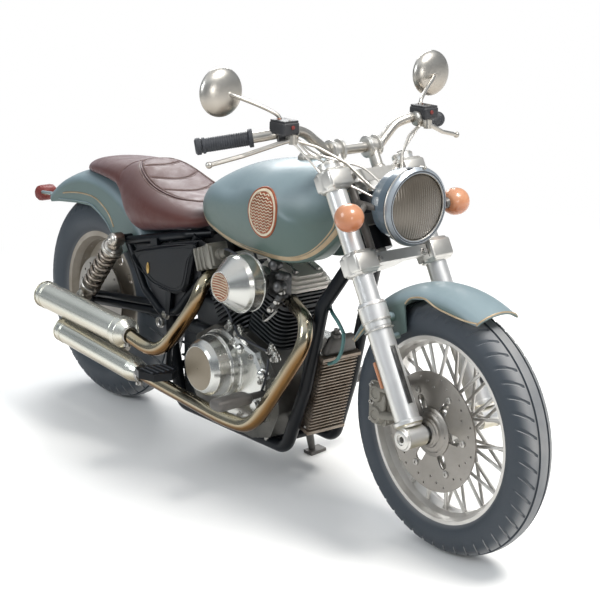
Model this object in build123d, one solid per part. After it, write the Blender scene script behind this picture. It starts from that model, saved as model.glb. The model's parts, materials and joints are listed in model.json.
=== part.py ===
# Cruiser motorcycle with a V-twin engine, wire front wheel and twin right-hand silencers.
# Drawn upright: X forward from the rear axle, Y to the rider's left, Z up from the road.
# park() then leans the whole machine onto its side stand. All lengths are millimetres.
from build123d import *
from math import sin, cos, tan, asin, atan2, radians, hypot, pi
import os

# ---------------------------------------------------------------- driving dimensions
WHEELBASE = 1600.0
LEAN = 6.0                      # degrees the parked machine leans to its left
RAKE = 29.3                     # degrees the fork slopes back from upright
FRONT_R, FRONT_CROWN = 335.0, 59.0
REAR_R, REAR_CROWN = 343.0, 77.0
FRONT_BEAD, REAR_BEAD = 243.0, 211.0
RIM_LIP = 9.0
FORK_Y = 128.0                  # each fork leg from the middle plane
FORK_LEAD = 50.0                # fork legs ahead of the steering axis
TUBE_R, SLIDER_R = 28.0, 33.0   # fork leg: upper tube and lower slider
AXLE_R = 10.0
RUN = 0.05                      # radial clearance of a running fit
CRANK = (850.0, 290.0)          # crankshaft centre, x and z
CYLINDERS = (("front", 18.0), ("rear", -34.0))      # degrees each cylinder leans forward of upright
PIPE_R = 21.0                   # exhaust header tube
BAR_R = 14.0                    # handlebar tube
SPOKES = 40
SPOKE_R = 2.4

rest = 1.0 / cos(radians(LEAN)) - 1.0
FRONT_Z = FRONT_R + FRONT_CROWN * rest      # axle heights that set both crowns on the road
REAR_Z = REAR_R + REAR_CROWN * rest
AXIS_Y = Axis((0, 0, 0), (0, 1, 0))
SIDES = (("right", -1), ("left", 1))

os.makedirs("parts", exist_ok=True)
nodes = {}


# ---------------------------------------------------------------- helpers
def rod(a, b, r):
    """Round bar from point a to point b."""
    run = Vector(b) - Vector(a)
    return Solid.make_cylinder(r, run.length, Plane(origin=a, z_dir=run))


def cone(a, b, r1, r2):
    """Tapered round bar from a (radius r1) to b (radius r2)."""
    run = Vector(b) - Vector(a)
    return Solid.make_cone(r1, r2, run.length, Plane(origin=a, z_dir=run))


def turned(a, along, profile):
    """Solid turned about the line from a: profile lists (distance along, radius) from end to end."""
    plane = Plane(origin=a, z_dir=along)
    pts = [(0, profile[0][0])] + [(r, s) for s, r in profile] + [(0, profile[-1][0])]
    face = make_face(Polyline(*[(r, 0, s) for r, s in pts], close=True))
    return plane.location * revolve(face, Axis.Z)


def ring(profile, x=0.0, z=0.0):
    """Ring about a wheel's axle: profile lists (y, radius) round its closed section."""
    face = make_face(Polyline(*[(0, y, r) for y, r in profile], close=True))
    return Pos(x, 0, z) * revolve(face, AXIS_Y)


def pipe(points, r, bend):
    """Round tube swept along straight runs joined by bends of one radius."""
    path = FilletPolyline(*points, radius=bend)
    return sweep(Plane(origin=path @ 0, z_dir=path % 0) * Circle(r), path=path)


def plate(points, y0, y1):
    """Flat plate: outline in X and Z, spanning y0 to y1."""
    face = make_face(Polyline(*[(x, y0, z) for x, z in points], close=True))
    return extrude(face, amount=abs(y1 - y0), dir=(0, 1 if y1 > y0 else -1, 0))


def block(centre, size, round_r=0.0):
    """Box about its centre, with its upright and long edges rounded."""
    body = Pos(*centre) * Box(*size)
    return fillet(body.edges(), round_r) if round_r else body


def mirrored(points, side):
    """Points given for the left (+Y), put on the side asked for."""
    return [(x, y * side, z) for x, y, z in points]


def fork(s, y, lead=0.0):
    """Point on the fork: s up along the leg from the axle, y across, lead ahead of the leg line."""
    a = radians(RAKE)
    return (WHEELBASE - s * sin(a) + lead * cos(a), y, FRONT_Z + s * cos(a) + lead * sin(a))


FORK_UP = Vector(*fork(1, 0)) - Vector(*fork(0, 0))
FORK_FWD = Vector(*fork(0, 0, 1)) - Vector(*fork(0, 0))


def fork_box(s0, s1, y0, y1, lead0, lead1, round_r=0.0):
    """Box square to the fork legs."""
    middle = fork((s0 + s1) / 2, (y0 + y1) / 2, (lead0 + lead1) / 2)
    body = Box(abs(lead1 - lead0), abs(y1 - y0), abs(s1 - s0))
    if round_r:
        body = fillet(body.edges(), round_r)
    return Plane(origin=middle, x_dir=FORK_FWD, z_dir=FORK_UP).location * body


def arch(half, top, drop, corner, skirt, skin):
    """Section of an arched skin about a wheel's axle: a crown arc, two corner arcs and straight skirts."""
    side_r = top - drop
    crown = ((half - corner) ** 2 + drop ** 2 - corner ** 2) / (2 * (drop - corner))
    reach = hypot(half - corner, crown - drop)
    ux, uz = (half - corner) / reach, (crown - drop) / reach
    edges = []
    for grow in (0.0, -skin):
        h, q, big = half + grow, corner + grow, crown + grow
        meet = (ux * big, top - crown + uz * big)
        lift = atan2(uz, ux) / 2
        mid = (half - corner + q * cos(lift), side_r + q * sin(lift))
        edges += [Line((-h, skirt), (-h, side_r)),
                  ThreePointArc((-h, side_r), (-mid[0], mid[1]), (-meet[0], meet[1])),
                  ThreePointArc((-meet[0], meet[1]), (0, top + grow), meet),
                  ThreePointArc(meet, mid, (h, side_r)), Line((h, side_r), (h, skirt))]
    edges += [Line((side * half, skirt), (side * (half - skin), skirt)) for side in (-1, 1)]
    return Plane(origin=(0, 0, 0), x_dir=(0, 1, 0), z_dir=(1, 0, 0)) * make_face(Curve() + edges)


def about_axle(section, start, end):
    """A section swept about a wheel's axle from one angle to another, measured up from straight ahead."""
    return Rot(0, 90 - start, 0) * revolve(section, Axis((0, 0, 0), (0, -1, 0)), end - start)


def tyre(outer, crown, bead, bead_half):
    """Tyre with a true-arc crown and bulging side walls."""
    a = radians(78)
    ys, rs = crown * sin(a), outer - crown + crown * cos(a)
    ym, rm = crown * 1.0, (rs + bead) / 2 + 4
    section = make_face(Curve() + [
        ThreePointArc((0, -ys, rs), (0, 0, outer), (0, ys, rs)),
        ThreePointArc((0, ys, rs), (0, ym, rm), (0, bead_half, bead)),
        Line((0, bead_half, bead), (0, -bead_half, bead)),
        ThreePointArc((0, -bead_half, bead), (0, -ym, rm), (0, -ys, rs))])
    return revolve(section, AXIS_Y)


# ---------------------------------------------------------------- front wheel
FRONT_HALF = 46.0
FLANGE_Y, FLANGE_R = 40.0, 46.0
HUB_END = 70.0
DISC_R, DISC_T, DISC_Y = 158.0, 5.0, -60.0

nodes["front_tyre"] = Pos(WHEELBASE, 0, FRONT_Z) * tyre(FRONT_R, FRONT_CROWN, FRONT_BEAD, FRONT_HALF - 5)

rim = ring([(-FRONT_HALF, FRONT_BEAD + RIM_LIP), (-FRONT_HALF + 5, FRONT_BEAD + RIM_LIP),
            (-FRONT_HALF + 5, FRONT_BEAD), (FRONT_HALF - 5, FRONT_BEAD),
            (FRONT_HALF - 5, FRONT_BEAD + RIM_LIP), (FRONT_HALF, FRONT_BEAD + RIM_LIP),
            (FRONT_HALF, FRONT_BEAD - 6), (30, FRONT_BEAD - 13), (16, FRONT_BEAD - 22),
            (-16, FRONT_BEAD - 22), (-30, FRONT_BEAD - 13), (-FRONT_HALF, FRONT_BEAD - 6)])
hub = ring([(-HUB_END, AXLE_R + RUN), (-HUB_END, 26), (-54, 26), (-54, 42), (-FLANGE_Y - 4, 56),
            (-FLANGE_Y + 4, 56), (-26, 34), (26, 34), (FLANGE_Y - 4, 56), (FLANGE_Y + 4, 56),
            (54, 40), (HUB_END, 26), (HUB_END, AXLE_R + RUN)])
spokes = []
for n in range(SPOKES):
    side = -1 if n % 2 else 1
    pair = n // 2
    lean = 1 if pair % 2 else -1
    at_rim = radians(pair * 720.0 / SPOKES + side * 2.2)
    at_hub = at_rim + lean * radians(38)
    low, high = FLANGE_R, FRONT_BEAD - 16
    spokes.append(rod((low * sin(at_hub), side * FLANGE_Y, low * cos(at_hub)),
                      (high * sin(at_rim), side * 8, high * cos(at_rim)), SPOKE_R))
nodes["front_wire_wheel"] = Pos(WHEELBASE, 0, FRONT_Z) * (rim + hub + spokes)
nodes["front_tyre"] -= Pos(WHEELBASE, 0, FRONT_Z) * rim

disc = ring([(DISC_Y - DISC_T / 2, 112), (DISC_Y - DISC_T / 2, DISC_R),
             (DISC_Y + DISC_T / 2, DISC_R), (DISC_Y + DISC_T / 2, 112)])
carrier = ring([(DISC_Y - DISC_T / 2, 26), (DISC_Y - DISC_T / 2, 114),
                (DISC_Y + DISC_T / 2, 114), (DISC_Y + DISC_T / 2, 43), (-54, 43), (-54, 26)])
window = Pos(78, DISC_Y, 0) * Rot(90, 0, 0) * extrude(SlotOverall(46, 26), 20, both=True)
windows = [Rot(0, n * 60, 0) * window for n in range(6)]
drill = [rod((120 + row * 13, DISC_Y - 9, 0), (120 + row * 13, DISC_Y + 9, 0), 3.2) for row in range(3)]
holes = [Rot(0, n * 15 + row * 5, 0) * drill[row] for n in range(24) for row in range(3) if (n + row) % 2 == 0]
nodes["front_brake_disc"] = Pos(WHEELBASE, 0, FRONT_Z) * (disc + carrier - windows - holes)

# ---------------------------------------------------------------- rear wheel
REAR_HALF = 56.0
nodes["rear_tyre"] = Pos(0, 0, REAR_Z) * tyre(REAR_R, REAR_CROWN, REAR_BEAD, REAR_HALF - 5)
rear_rim = ring([(-REAR_HALF, REAR_BEAD + RIM_LIP), (-REAR_HALF + 5, REAR_BEAD + RIM_LIP),
                 (-REAR_HALF + 5, REAR_BEAD), (REAR_HALF - 5, REAR_BEAD),
                 (REAR_HALF - 5, REAR_BEAD + RIM_LIP), (REAR_HALF, REAR_BEAD + RIM_LIP),
                 (REAR_HALF, REAR_BEAD - 12), (34, REAR_BEAD - 24),
                 (6, REAR_BEAD - 30), (6, 60), (40, 52), (60, 42), (60, AXLE_R + RUN),
                 (-60, AXLE_R + RUN), (-60, 42), (-46, 54), (-14, 62), (-8, REAR_BEAD - 30),
                 (-34, REAR_BEAD - 24), (-REAR_HALF, REAR_BEAD - 12)])
lightening = [Rot(0, n * 36, 0) * rod((126, -40, 0), (126, 40, 0), 16) for n in range(10)]
nodes["rear_wheel"] = Pos(0, 0, REAR_Z) * (rear_rim - lightening)
nodes["rear_tyre"] -= Pos(0, 0, REAR_Z) * rear_rim
rear_disc = ring([(-66, 43), (-66, 132), (-61, 132), (-61, 43)])
rear_holes = [Rot(0, n * 20, 0) * rod((116, -70, 0), (116, -58, 0), 4) for n in range(18)]
rear_carrier = ring([(-61, 20), (-61, 48), (-60, 48), (-60, 20)])
nodes["rear_brake_disc"] = Pos(0, 0, REAR_Z) * (rear_disc - rear_holes + rear_carrier)
nodes["rear_belt_pulley"] = Pos(0, 0, REAR_Z) * ring([(60, 20), (60, 90), (66, 96), (66, 104), (88, 104),
                                                     (88, 98), (72, 92), (72, 20)])

# ---------------------------------------------------------------- fork and steering
CLAMP_R = 38.0
HEAD_R, HEAD0, HEAD1 = 33.0, 500.0, 654.0       # head tube: radius, and its ends up the fork
LOW0, LOW1 = HEAD0 - 68, HEAD0 - 8              # lower fork clamp's rings
TOP0, TOP1 = HEAD1 + 8, HEAD1 + 64              # top fork clamp's rings
STEM_R = 15.0
LUG_R = 28.0                    # round lug at the foot of each fork leg
lugs = []
for name, side in SIDES:
    y = side * FORK_Y
    slider = [(LUG_R - 3, SLIDER_R - 2), (30, SLIDER_R), (34, 38), (42, 38), (46, SLIDER_R), (292, SLIDER_R)]
    collar = [(292, 35), (306, 35), (306, 38), (350, 38), (358, 34)]
    tube = [(358, TUBE_R), (TOP1 + 12, TUBE_R), (TOP1 + 18, 24), (TOP1 + 24, 12)]
    leg = turned(fork(0, y), FORK_UP, slider + collar + tube)
    lug = rod((WHEELBASE, side * (FORK_Y - 29), FRONT_Z), (WHEELBASE, side * (FORK_Y + 30), FRONT_Z), LUG_R)
    flats = [fork_box(80, 235, y - 9, y + 9, 29, 40)]
    nodes["fork_leg_" + name] = leg - lug - flats
    lugs.append(lug)

axle = rod((WHEELBASE, -164, FRONT_Z), (WHEELBASE, 164, FRONT_Z), AXLE_R)
# spacers beside the hub and sleeves through the fork legs: from y, to y, radius
SLEEVES = ((71, 99, AXLE_R + 8), (99, 166, AXLE_R + 6))
sleeves = [rod((WHEELBASE, side * y0, FRONT_Z), (WHEELBASE, side * y1, FRONT_Z), r)
           for _, side in SIDES for y0, y1, r in SLEEVES]
socket = rod((WHEELBASE, -166, FRONT_Z), (WHEELBASE, -126, FRONT_Z), 8.5)
nodes["front_axle"] = axle + sleeves + lugs - socket


def clamp(s0, s1, bar0, bar1, lead0, lead1):
    """Fork clamp: a ring round each leg joined by a flat bar, with the steering stem's boss behind."""
    body = fork_box(bar0, bar1, -FORK_Y, FORK_Y, lead0, lead1)
    body += fork_box(bar0, bar1, -34, 34, -FORK_LEAD, lead1)
    body += rod(fork(bar0, 0, -FORK_LEAD), fork(bar1, 0, -FORK_LEAD), 34)
    for side in (-1, 1):
        band = [(0, CLAMP_R - 3), (4, CLAMP_R), (s1 - s0 - 4, CLAMP_R), (s1 - s0, CLAMP_R - 3)]
        body += turned(fork(s0, side * FORK_Y), FORK_UP, band)
        body -= rod(fork(s0 - 5, side * FORK_Y), fork(s1 + 5, side * FORK_Y), TUBE_R)
    return body


nodes["fork_clamp_top"] = clamp(TOP0, TOP1, TOP0 + 10, TOP1 - 12, -14, 24)
stem = rod(fork(LOW1 - 40, 0, -FORK_LEAD), fork(TOP0 + 10, 0, -FORK_LEAD), STEM_R)
nodes["fork_clamp_bottom"] = clamp(LOW0, LOW1, LOW0 + 20, LOW1 - 12, -14, 24) + stem
nodes["fork_clamp_bottom"] -= nodes["fork_clamp_top"]

STALK_Y = 76.0
bracket = []
for _, side in SIDES:
    bracket.append(rod(fork(LOW1 - 12, side * STALK_Y, 4), fork(TOP0 + 10, side * STALK_Y, 4), 11))
    bracket.append(rod((1300, side * STALK_Y, 880), (1392, side * 88, 884), 9))
LAMP = Vector(1447, 0, 886)
LAMP_R = 102.0
AHEAD = Vector(1, 0, 0)
bowl = turned(LAMP - AHEAD * 118, AHEAD, [(0, 20), (8, 48), (24, 74), (46, 90), (76, 97), (104, 98)])
lamp_rim = turned(LAMP - AHEAD * 14, AHEAD, [(0, 99), (5, LAMP_R), (14, LAMP_R), (20, 95), (20, 90)])
lamp_seat = turned(LAMP - AHEAD * 2, AHEAD, [(0, 88), (40, 88)])
lens = turned(LAMP - AHEAD * 2, AHEAD, [(0, 88), (8, 88), (12, 80), (16, 50), (17.5, 12)])
nodes["headlight_bowl"] = bowl
nodes["headlight_rim"] = lamp_rim - lamp_seat
nodes["headlight_lens"] = lens
nodes["headlight_bracket"] = Part() + bracket - bowl - nodes["fork_clamp_bottom"] - nodes["fork_clamp_top"]
nodes["headlight_bracket"] += fork_box(560, 590, -STALK_Y, STALK_Y, -8, 8) - bowl

for name, side in SIDES:
    c = Vector(1397, side * 186, 871)
    out = Vector(0.0, side * 1.0, 0.0)
    lamp = turned(c - out * 36, out, [(0, 8), (4, 20), (14, 31), (28, 36.5), (42, 36), (54, 30), (64, 20),
                                      (70, 8)])
    stalk = rod((1340, side * 82, 882), c - out * 30, 8) + turned(c - out * 44, out, [(0, 12), (12, 16)])
    nodes["turn_signal_" + name] = lamp
    nodes["headlight_bracket"] += stalk - lamp - bowl

# front fender: an arched skin turned about the axle and cut to its side outline
FENDER_R, FENDER_HALF, SKIN = 378.0, 74.0, 4.0
FENDER0, FENDER1 = 64.0, 152.0
fender = about_axle(arch(FENDER_HALF, FENDER_R, 42, 30, 250, SKIN), FENDER0, FENDER1)


def polar(angle, r, x=WHEELBASE, z=FRONT_Z):
    return (x + r * cos(radians(angle)), z + r * sin(radians(angle)))


# side outline as angle up from the front and radius from the axle
SIDE_CUT = ((50, 400), (64, 352), (72, 336), (82, 328), (88, 330), (96, 344), (104, 343), (109, 330),
            (112, 262), (128, 262), (134, 330), (150, 342), (156, 400), (156, 200), (50, 200))
fender = Pos(WHEELBASE, 0, FRONT_Z) * fender - plate([polar(*p) for p in SIDE_CUT], -100, 100)
# fender stays: distance up the fork, radius
STAYS = ((312, 13), (262, 9))
for _, side in SIDES:
    for s, r in STAYS:
        fender += rod(fork(s, side * (FENDER_HALF - 2)), fork(s, side * FORK_Y), r)
nodes["front_fender"] = fender - nodes["fork_leg_right"] - nodes["fork_leg_left"]

# caliper over the rear edge of the front disc
CAL = (1428.0, -66.0, 372.0)
cal = Pos(*CAL) * Box(70, 62, 118)
cal = fillet(cal.edges().filter_by(Axis.Y), 18)
for dz in (-28, 28):
    cal += rod((CAL[0], CAL[1] - 31, CAL[2] + dz), (CAL[0], CAL[1] - 42, CAL[2] + dz), 22)
cal -= Pos(CAL[0] + 30, DISC_Y, CAL[2] - 30) * Box(120, DISC_T + 12, 220)
cal += Pos(CAL[0] - 30, DISC_Y, CAL[2]) * Box(10, DISC_T + 14, 90)
# arms to the right fork leg: height on the caliper, distance up the leg
arm = [rod((CAL[0] + 10, -98, CAL[2] + dz), fork(s, -FORK_Y), 11) for dz, s in ((44, 120), (-30, 50))]
nodes["front_brake_caliper"] = cal + arm - nodes["fork_leg_right"]

# ---------------------------------------------------------------- handlebar and controls
BAR = [(1190, 0, 1000), (1190, 92, 1000), (1180, 150, 1052), (1190, 215, 1066), (1149, 285, 1051),
       (1067, 414, 1027)]
bar_path = [(x, -y, z) for x, y, z in reversed(BAR[1:])] + BAR[1:]
nodes["handlebar"] = pipe(bar_path, BAR_R, 26)
GRIP_DIR = (Vector(*BAR[5]) - Vector(*BAR[4])).normalized()


def along_grip(side, t):
    p = Vector(*BAR[4]) + GRIP_DIR * t
    return (p.X, p.Y * side, p.Z)


for name, side in SIDES:
    y = side * 63
    hub_line = (1190, y - 22, 1000)
    riser = turned(hub_line, (0, 1, 0), [(0, 24), (4, 30), (12, 30), (12, 22), (32, 22), (32, 30), (40, 30),
                                         (44, 24)])
    riser += turned(fork(TOP1 - 12, y, -32), FORK_UP, [(0, 20), (14, 20), (20, 16), (60, 16)])
    nodes["fork_clamp_top"] += riser - nodes["handlebar"]

    outward = Vector(GRIP_DIR.X, GRIP_DIR.Y * side, GRIP_DIR.Z)
    grip = turned(along_grip(side, 14), outward, [(0, 24), (10, 24), (12, 18), (122, 18), (124, 21), (130, 21),
                                                  (131, 18), (134, 18), (135, 22), (146, 22), (150, 16)])
    nodes["grip_" + name] = grip - nodes["handlebar"]

    box = block((1200, side * 240, 1078), (66, 52, 34), 7)
    box += rod((1196, side * 226, 1061), (1184, side * 250, 1059), 21)
    nodes["control_box_" + name] = box - nodes["handlebar"] - nodes["grip_" + name]

    blade = [(1226, 232, 1050), (1208, 262, 1040), (1165, 345, 1010), (1134, 428, 990)]
    lever = pipe(mirrored(blade, side), 6.0, 25)
    lever += Pos(1134, side * 428, 990) * Sphere(9)
    lever += rod((1226, side * 232, 1038), (1226, side * 232, 1062), 11)
    nodes["lever_" + name] = lever - nodes["control_box_" + name]

    stem_pts = mirrored([(1186, 243, 1080), (1176, 246, 1112), (1140, 322, 1152), (1108, 350, 1165)], side)
    stem = pipe(stem_pts, 5.0, 16) - nodes["control_box_" + name]
    centre = Vector(1098, side * 361, 1165)
    back = turned(centre - AHEAD * 14, AHEAD, [(0, 62), (6, 64), (14, 62), (24, 52), (32, 36), (36, 16)])
    recess = turned(centre - AHEAD * 15, AHEAD, [(0, 58), (3, 58)])
    nodes["mirror_" + name] = back + stem - recess

# control cables from the bar into the lamp bowl, and the brake hose down behind the right leg
CABLE_R, HOSE_R, CABLE_BEND = 4.0, 4.5, 30.0
for name, side in SIDES:
    route = [(1206, 222, 1046), (1232, 160, 1026), (1276, 96, 984), (1318, 62, 936), (1352, 48, 912)]
    cable = pipe(mirrored(route, side), CABLE_R, CABLE_BEND)
    cable -= nodes["control_box_" + name]
    nodes["control_cable_" + name] = cable - nodes["headlight_bowl"] - nodes["handlebar"]
hose_route = [fork(LOW0 + 20, -84, -4), fork(400, -84, -22), fork(250, -84, -36), (1418, -84, 476),
              (1418, -84, 428)]
hose = pipe(hose_route, HOSE_R, CABLE_BEND)
nodes["front_brake_hose"] = hose - nodes["fork_clamp_bottom"] - nodes["front_brake_caliper"]

# ---------------------------------------------------------------- frame
TUBE = 19.0                     # main frame tubes
head_tube = rod(fork(HEAD0, 0, -FORK_LEAD), fork(HEAD1, 0, -FORK_LEAD), HEAD_R)
head_bore = rod(fork(HEAD0 - 60, 0, -FORK_LEAD), fork(HEAD1 + 60, 0, -FORK_LEAD), STEM_R + RUN)
head_low = fork(HEAD0 + 30, 0, -FORK_LEAD)
head_mid = fork(HEAD0 + 90, 0, -FORK_LEAD)
PIVOT_X, PIVOT_Z = 470.0, 398.0
tubes = [rod(head_mid, (610, 0, 706), 24)]
for _, side in SIDES:
    down = [(head_low[0] - 12, 24, head_low[2]), (1172, 80, 574), (1106, 82, 322), (1030, 88, 128),
            (520, 98, 128), (PIVOT_X, 98, 330), (PIVOT_X, 98, 450), (600, 84, 664)]
    tubes.append(pipe(mirrored(down, side), TUBE, 44))
    tubes.append(pipe(mirrored([(630, 60, 672), (560, 104, 660), (262, 118, 588)], side), 14, 30))
    low_rail = [(262, 118, 586), (352, 118, 452), (440, 116, 398), (520, 116, 416), (640, 96, 560)]
    tubes.append(pipe(mirrored(low_rail, side), 12, 30))
    tubes.append(rod((248, side * 100, 594), (248, side * 158, 594), 12))
for x, z, half in ((624, 684, 70), (270, 590, 118), (640, 128, 98), (960, 128, 88), (PIVOT_X, 230, 98)):
    tubes.append(rod((x, -half, z), (x, half, z), 12))
PEG_Z = 289.0
for _, side in SIDES:
    tubes.append(rod((PIVOT_X, side * 104, 302), (644, side * 230, PEG_Z), 9))
STAND_PIVOT = Vector(836, 0, 124)
tubes.append(rod((STAND_PIVOT.X, 94, STAND_PIVOT.Z), (STAND_PIVOT.X, 158, STAND_PIVOT.Z), 8))
tubes.append(rod((STAND_PIVOT.X, 158, STAND_PIVOT.Z), (STAND_PIVOT.X, 162, STAND_PIVOT.Z), 14))
# battery box between the seat tubes: outline in x and z
BATTERY = ((500, 446), (584, 446), (588, 500), (564, 536), (560, 648), (500, 648))
BATTERY_HALF = 92.0
battery = plate(BATTERY, -BATTERY_HALF, BATTERY_HALF)
nodes["frame"] = Part() + head_tube + tubes + battery - head_bore

pivot = rod((PIVOT_X, -74, PIVOT_Z), (PIVOT_X, 74, PIVOT_Z), 20)
arm = pivot
for _, side in SIDES:
    upper = [(PIVOT_X, 66, PIVOT_Z + 4), (372, 100, 410), (62, 104, 372), (-20, 104, 350)]
    lower = [(PIVOT_X, 66, PIVOT_Z - 8), (372, 98, 384), (-20, 104, 338)]
    arm += [pipe(mirrored(route, side), 12, 30) for route in (upper, lower)]
    arm += Pos(-4, side * 104, 344) * Box(84, 26, 46)
    arm += rod((46, side * 112, 372), (46, side * 158, 372), 11)
rear_axle = rod((0, -150, REAR_Z), (0, 150, REAR_Z), AXLE_R)
rear_axle += [rod((0, s * 61, REAR_Z), (0, s * 90.5, REAR_Z), AXLE_R + 8) for _, s in SIDES]
rear_axle += [rod((0, s * 117, REAR_Z), (0, s * 132, REAR_Z), 17) for _, s in SIDES]
rear_socket = rod((0, 151, REAR_Z), (0, 120, REAR_Z), 6)
nodes["rear_axle"] = rear_axle - rear_socket
nodes["swingarm"] = arm - nodes["rear_axle"] - nodes["frame"]

# coil-over shocks
for name, side in SIDES:
    top, low = Vector(248, side * 150, 594), Vector(46, side * 150, 372)
    line = (top - low).normalized()
    plane = Plane(origin=low + line * 58, z_dir=line)
    length = (top - low).length
    body = turned(low, line, [(10, 16), (40, 16), (40, 31), (58, 31), (58, 17), (length - 52, 17),
                              (length - 52, 31), (length - 40, 31), (length - 40, 20), (length - 10, 16)])
    half_eye = Vector(0, 14, 0)
    body += rod(low + half_eye, low - half_eye, 19) + rod(top + half_eye, top - half_eye, 21)
    turns = length - 110 - 9.6
    helix = Helix(pitch=turns / 6.5, height=turns, radius=27)
    coil = sweep(Plane(origin=helix @ 0, z_dir=helix % 0) * Circle(5.2), path=helix, is_frenet=True)
    nodes["shock_" + name] = body + plane.offset(4.8).location * coil - nodes["frame"] - nodes["swingarm"]

# ---------------------------------------------------------------- tank, seat, rear fender
# x, half width, bottom, widest height, top
TANK_FOOT = 0.84                # the flat belly as a part of the half width
TANK = ((602, 58, 730, 752, 794), (646, 106, 710, 768, 834), (745, 136, 692, 790, 888),
        (880, 154, 680, 804, 928), (1040, 157, 679, 808, 950), (1130, 126, 692, 806, 940),
        (1190, 84, 740, 818, 908), (1222, 38, 790, 834, 866))


def tank_section(x, half, low, wide, top):
    """Rounded section: flat belly, arcs to the widest line, corner arcs and one crown arc, all tangent."""
    foot = half * TANK_FOOT
    rise, corner = top - wide, (top - wide) * 0.72
    crown = ((half - corner) ** 2 + rise ** 2 - corner ** 2) / (2 * (rise - corner))
    reach = hypot(half - corner, crown - rise)
    ux, uz = (half - corner) / reach, (crown - rise) / reach
    meet = (ux * crown, top - crown + uz * crown)
    lift = atan2(uz, ux) / 2
    mid = (half - corner + corner * cos(lift), wide + corner * sin(lift))
    drop, span = wide - low, half - foot
    belly = (drop ** 2 + span ** 2) / (2 * span)
    turn = asin(min(1.0, drop / belly)) / 2
    low_mid = (half - belly + belly * cos(turn), wide - belly * sin(turn))
    return make_face(Curve() + [
        Line((x, -foot, low), (x, foot, low)),
        ThreePointArc((x, foot, low), (x, low_mid[0], low_mid[1]), (x, half, wide)),
        ThreePointArc((x, half, wide), (x, mid[0], mid[1]), (x, meet[0], meet[1])),
        ThreePointArc((x, meet[0], meet[1]), (x, 0, top), (x, -meet[0], meet[1])),
        ThreePointArc((x, -meet[0], meet[1]), (x, -mid[0], mid[1]), (x, -half, wide)),
        ThreePointArc((x, -half, wide), (x, -low_mid[0], low_mid[1]), (x, -foot, low))])


tank = loft([tank_section(*row) for row in TANK])
tunnel = rod(head_mid, (560, 0, 698), 34)
tunnel += plate([(560, 600), (1300, 600), (1300, 832), (head_mid[0], head_mid[2]), (560, 698)], -32, 32)
tunnel += turned(fork(440, 0, -FORK_LEAD), FORK_UP, [(0, 50), (320, 50)])
nodes["fuel_tank"] = tank - tunnel
nodes["tank_cap"] = turned((1010, 0, 940), (0, 0, 1), [(0, 34), (14, 34), (20, 28)]) - tank

# rider's seat and pillion pad: x, half width, lower edge, top
SEAT = ((676, 62, 706, 746), (600, 116, 690, 750), (500, 138, 666, 762), (400, 142, 640, 790),
        (300, 134, 620, 826), (262, 128, 616, 829), (214, 118, 690, 826))
PILLION = ((300, 114, 700, 826), (180, 112, 736, 822), (90, 106, 748, 815), (20, 94, 748, 806),
           (-40, 74, 744, 794), (-84, 50, 738, 780), (-116, 26, 732, 764))


def cushion_section(x, half, low, top):
    """Section of a cushion: flat underside, short sides and one crown arc."""
    edge = low + (top - low) * 0.5
    over = ThreePointArc((x, half, edge), (x, 0, top), (x, -half, edge))
    return make_face(Curve() + [over, Line((x, -half, edge), (x, -half * 0.92, low)),
                                Line((x, -half * 0.92, low), (x, half * 0.92, low)),
                                Line((x, half * 0.92, low), (x, half, edge))])


REAR_FENDER_R, REAR_FENDER_HALF = 418.0, 98.0
REAR_FENDER0, REAR_FENDER1 = 32.0, 131.5     # degrees up from straight ahead
rear_fender = about_axle(arch(REAR_FENDER_HALF, REAR_FENDER_R, 40, 26, 240, SKIN), REAR_FENDER0, REAR_FENDER1)
# the part of the fender sides that is cut away: x, z
REAR_CUT = ((420, 100), (420, 590), (330, 590), (250, 560), (176, 520), (126, 584), (95, 611), (50, 635),
            (3, 650), (-69, 647), (-194, 632), (-360, 600), (-400, 500), (-400, 100))
rear_fender = Pos(0, 0, REAR_Z) * rear_fender - plate(REAR_CUT, -130, 130)
nodes["rear_fender"] = rear_fender - nodes["frame"]

seat = loft([cushion_section(*row) for row in SEAT]) + loft([cushion_section(*row) for row in PILLION])
over_wheel = rod((0, -300, REAR_Z), (0, 300, REAR_Z), REAR_FENDER_R)
nodes["seat"] = seat - over_wheel - nodes["frame"] - nodes["fuel_tank"] - tunnel

lamp_c = Vector(-455, 0, 607)
lamp = turned(lamp_c - Vector(0, 37, 0), (0, 1, 0), [(0, 8), (3, 18), (10, 25), (20, 27), (54, 27), (64, 25),
                                                     (71, 18), (74, 8)])
nodes["tail_lamp"] = lamp
arms = rod((-300, -56, 634), (-300, 56, 634), 6)
for _, side in SIDES:
    arms += pipe(mirrored([(-236, 84, 642), (-330, 50, 630), (-450, 22, 612)], side), 6, 40)
nodes["rear_fender"] += arms - lamp

# ---------------------------------------------------------------- side covers
# outlines of a cover and of the two tabs it hangs from: x, z
COVER_PLATE = ((306, 566), (650, 660), (630, 604), (604, 522), (578, 492), (532, 476), (456, 478), (392, 490))
COVER_TABS = (((400, 588), (440, 598), (436, 630), (404, 622)), ((484, 484), (512, 484), (500, 404), (478, 404)))
for name, side in SIDES:
    cover = plate(COVER_PLATE, side * 122, side * 136)
    cover = chamfer(cover.faces().sort_by(Axis.Y)[0 if side < 0 else -1].edges(), 6)
    for tab in COVER_TABS:
        cover += plate(tab, side * 116, side * 130)
    nodes["side_cover_" + name] = cover - nodes["frame"]

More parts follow.
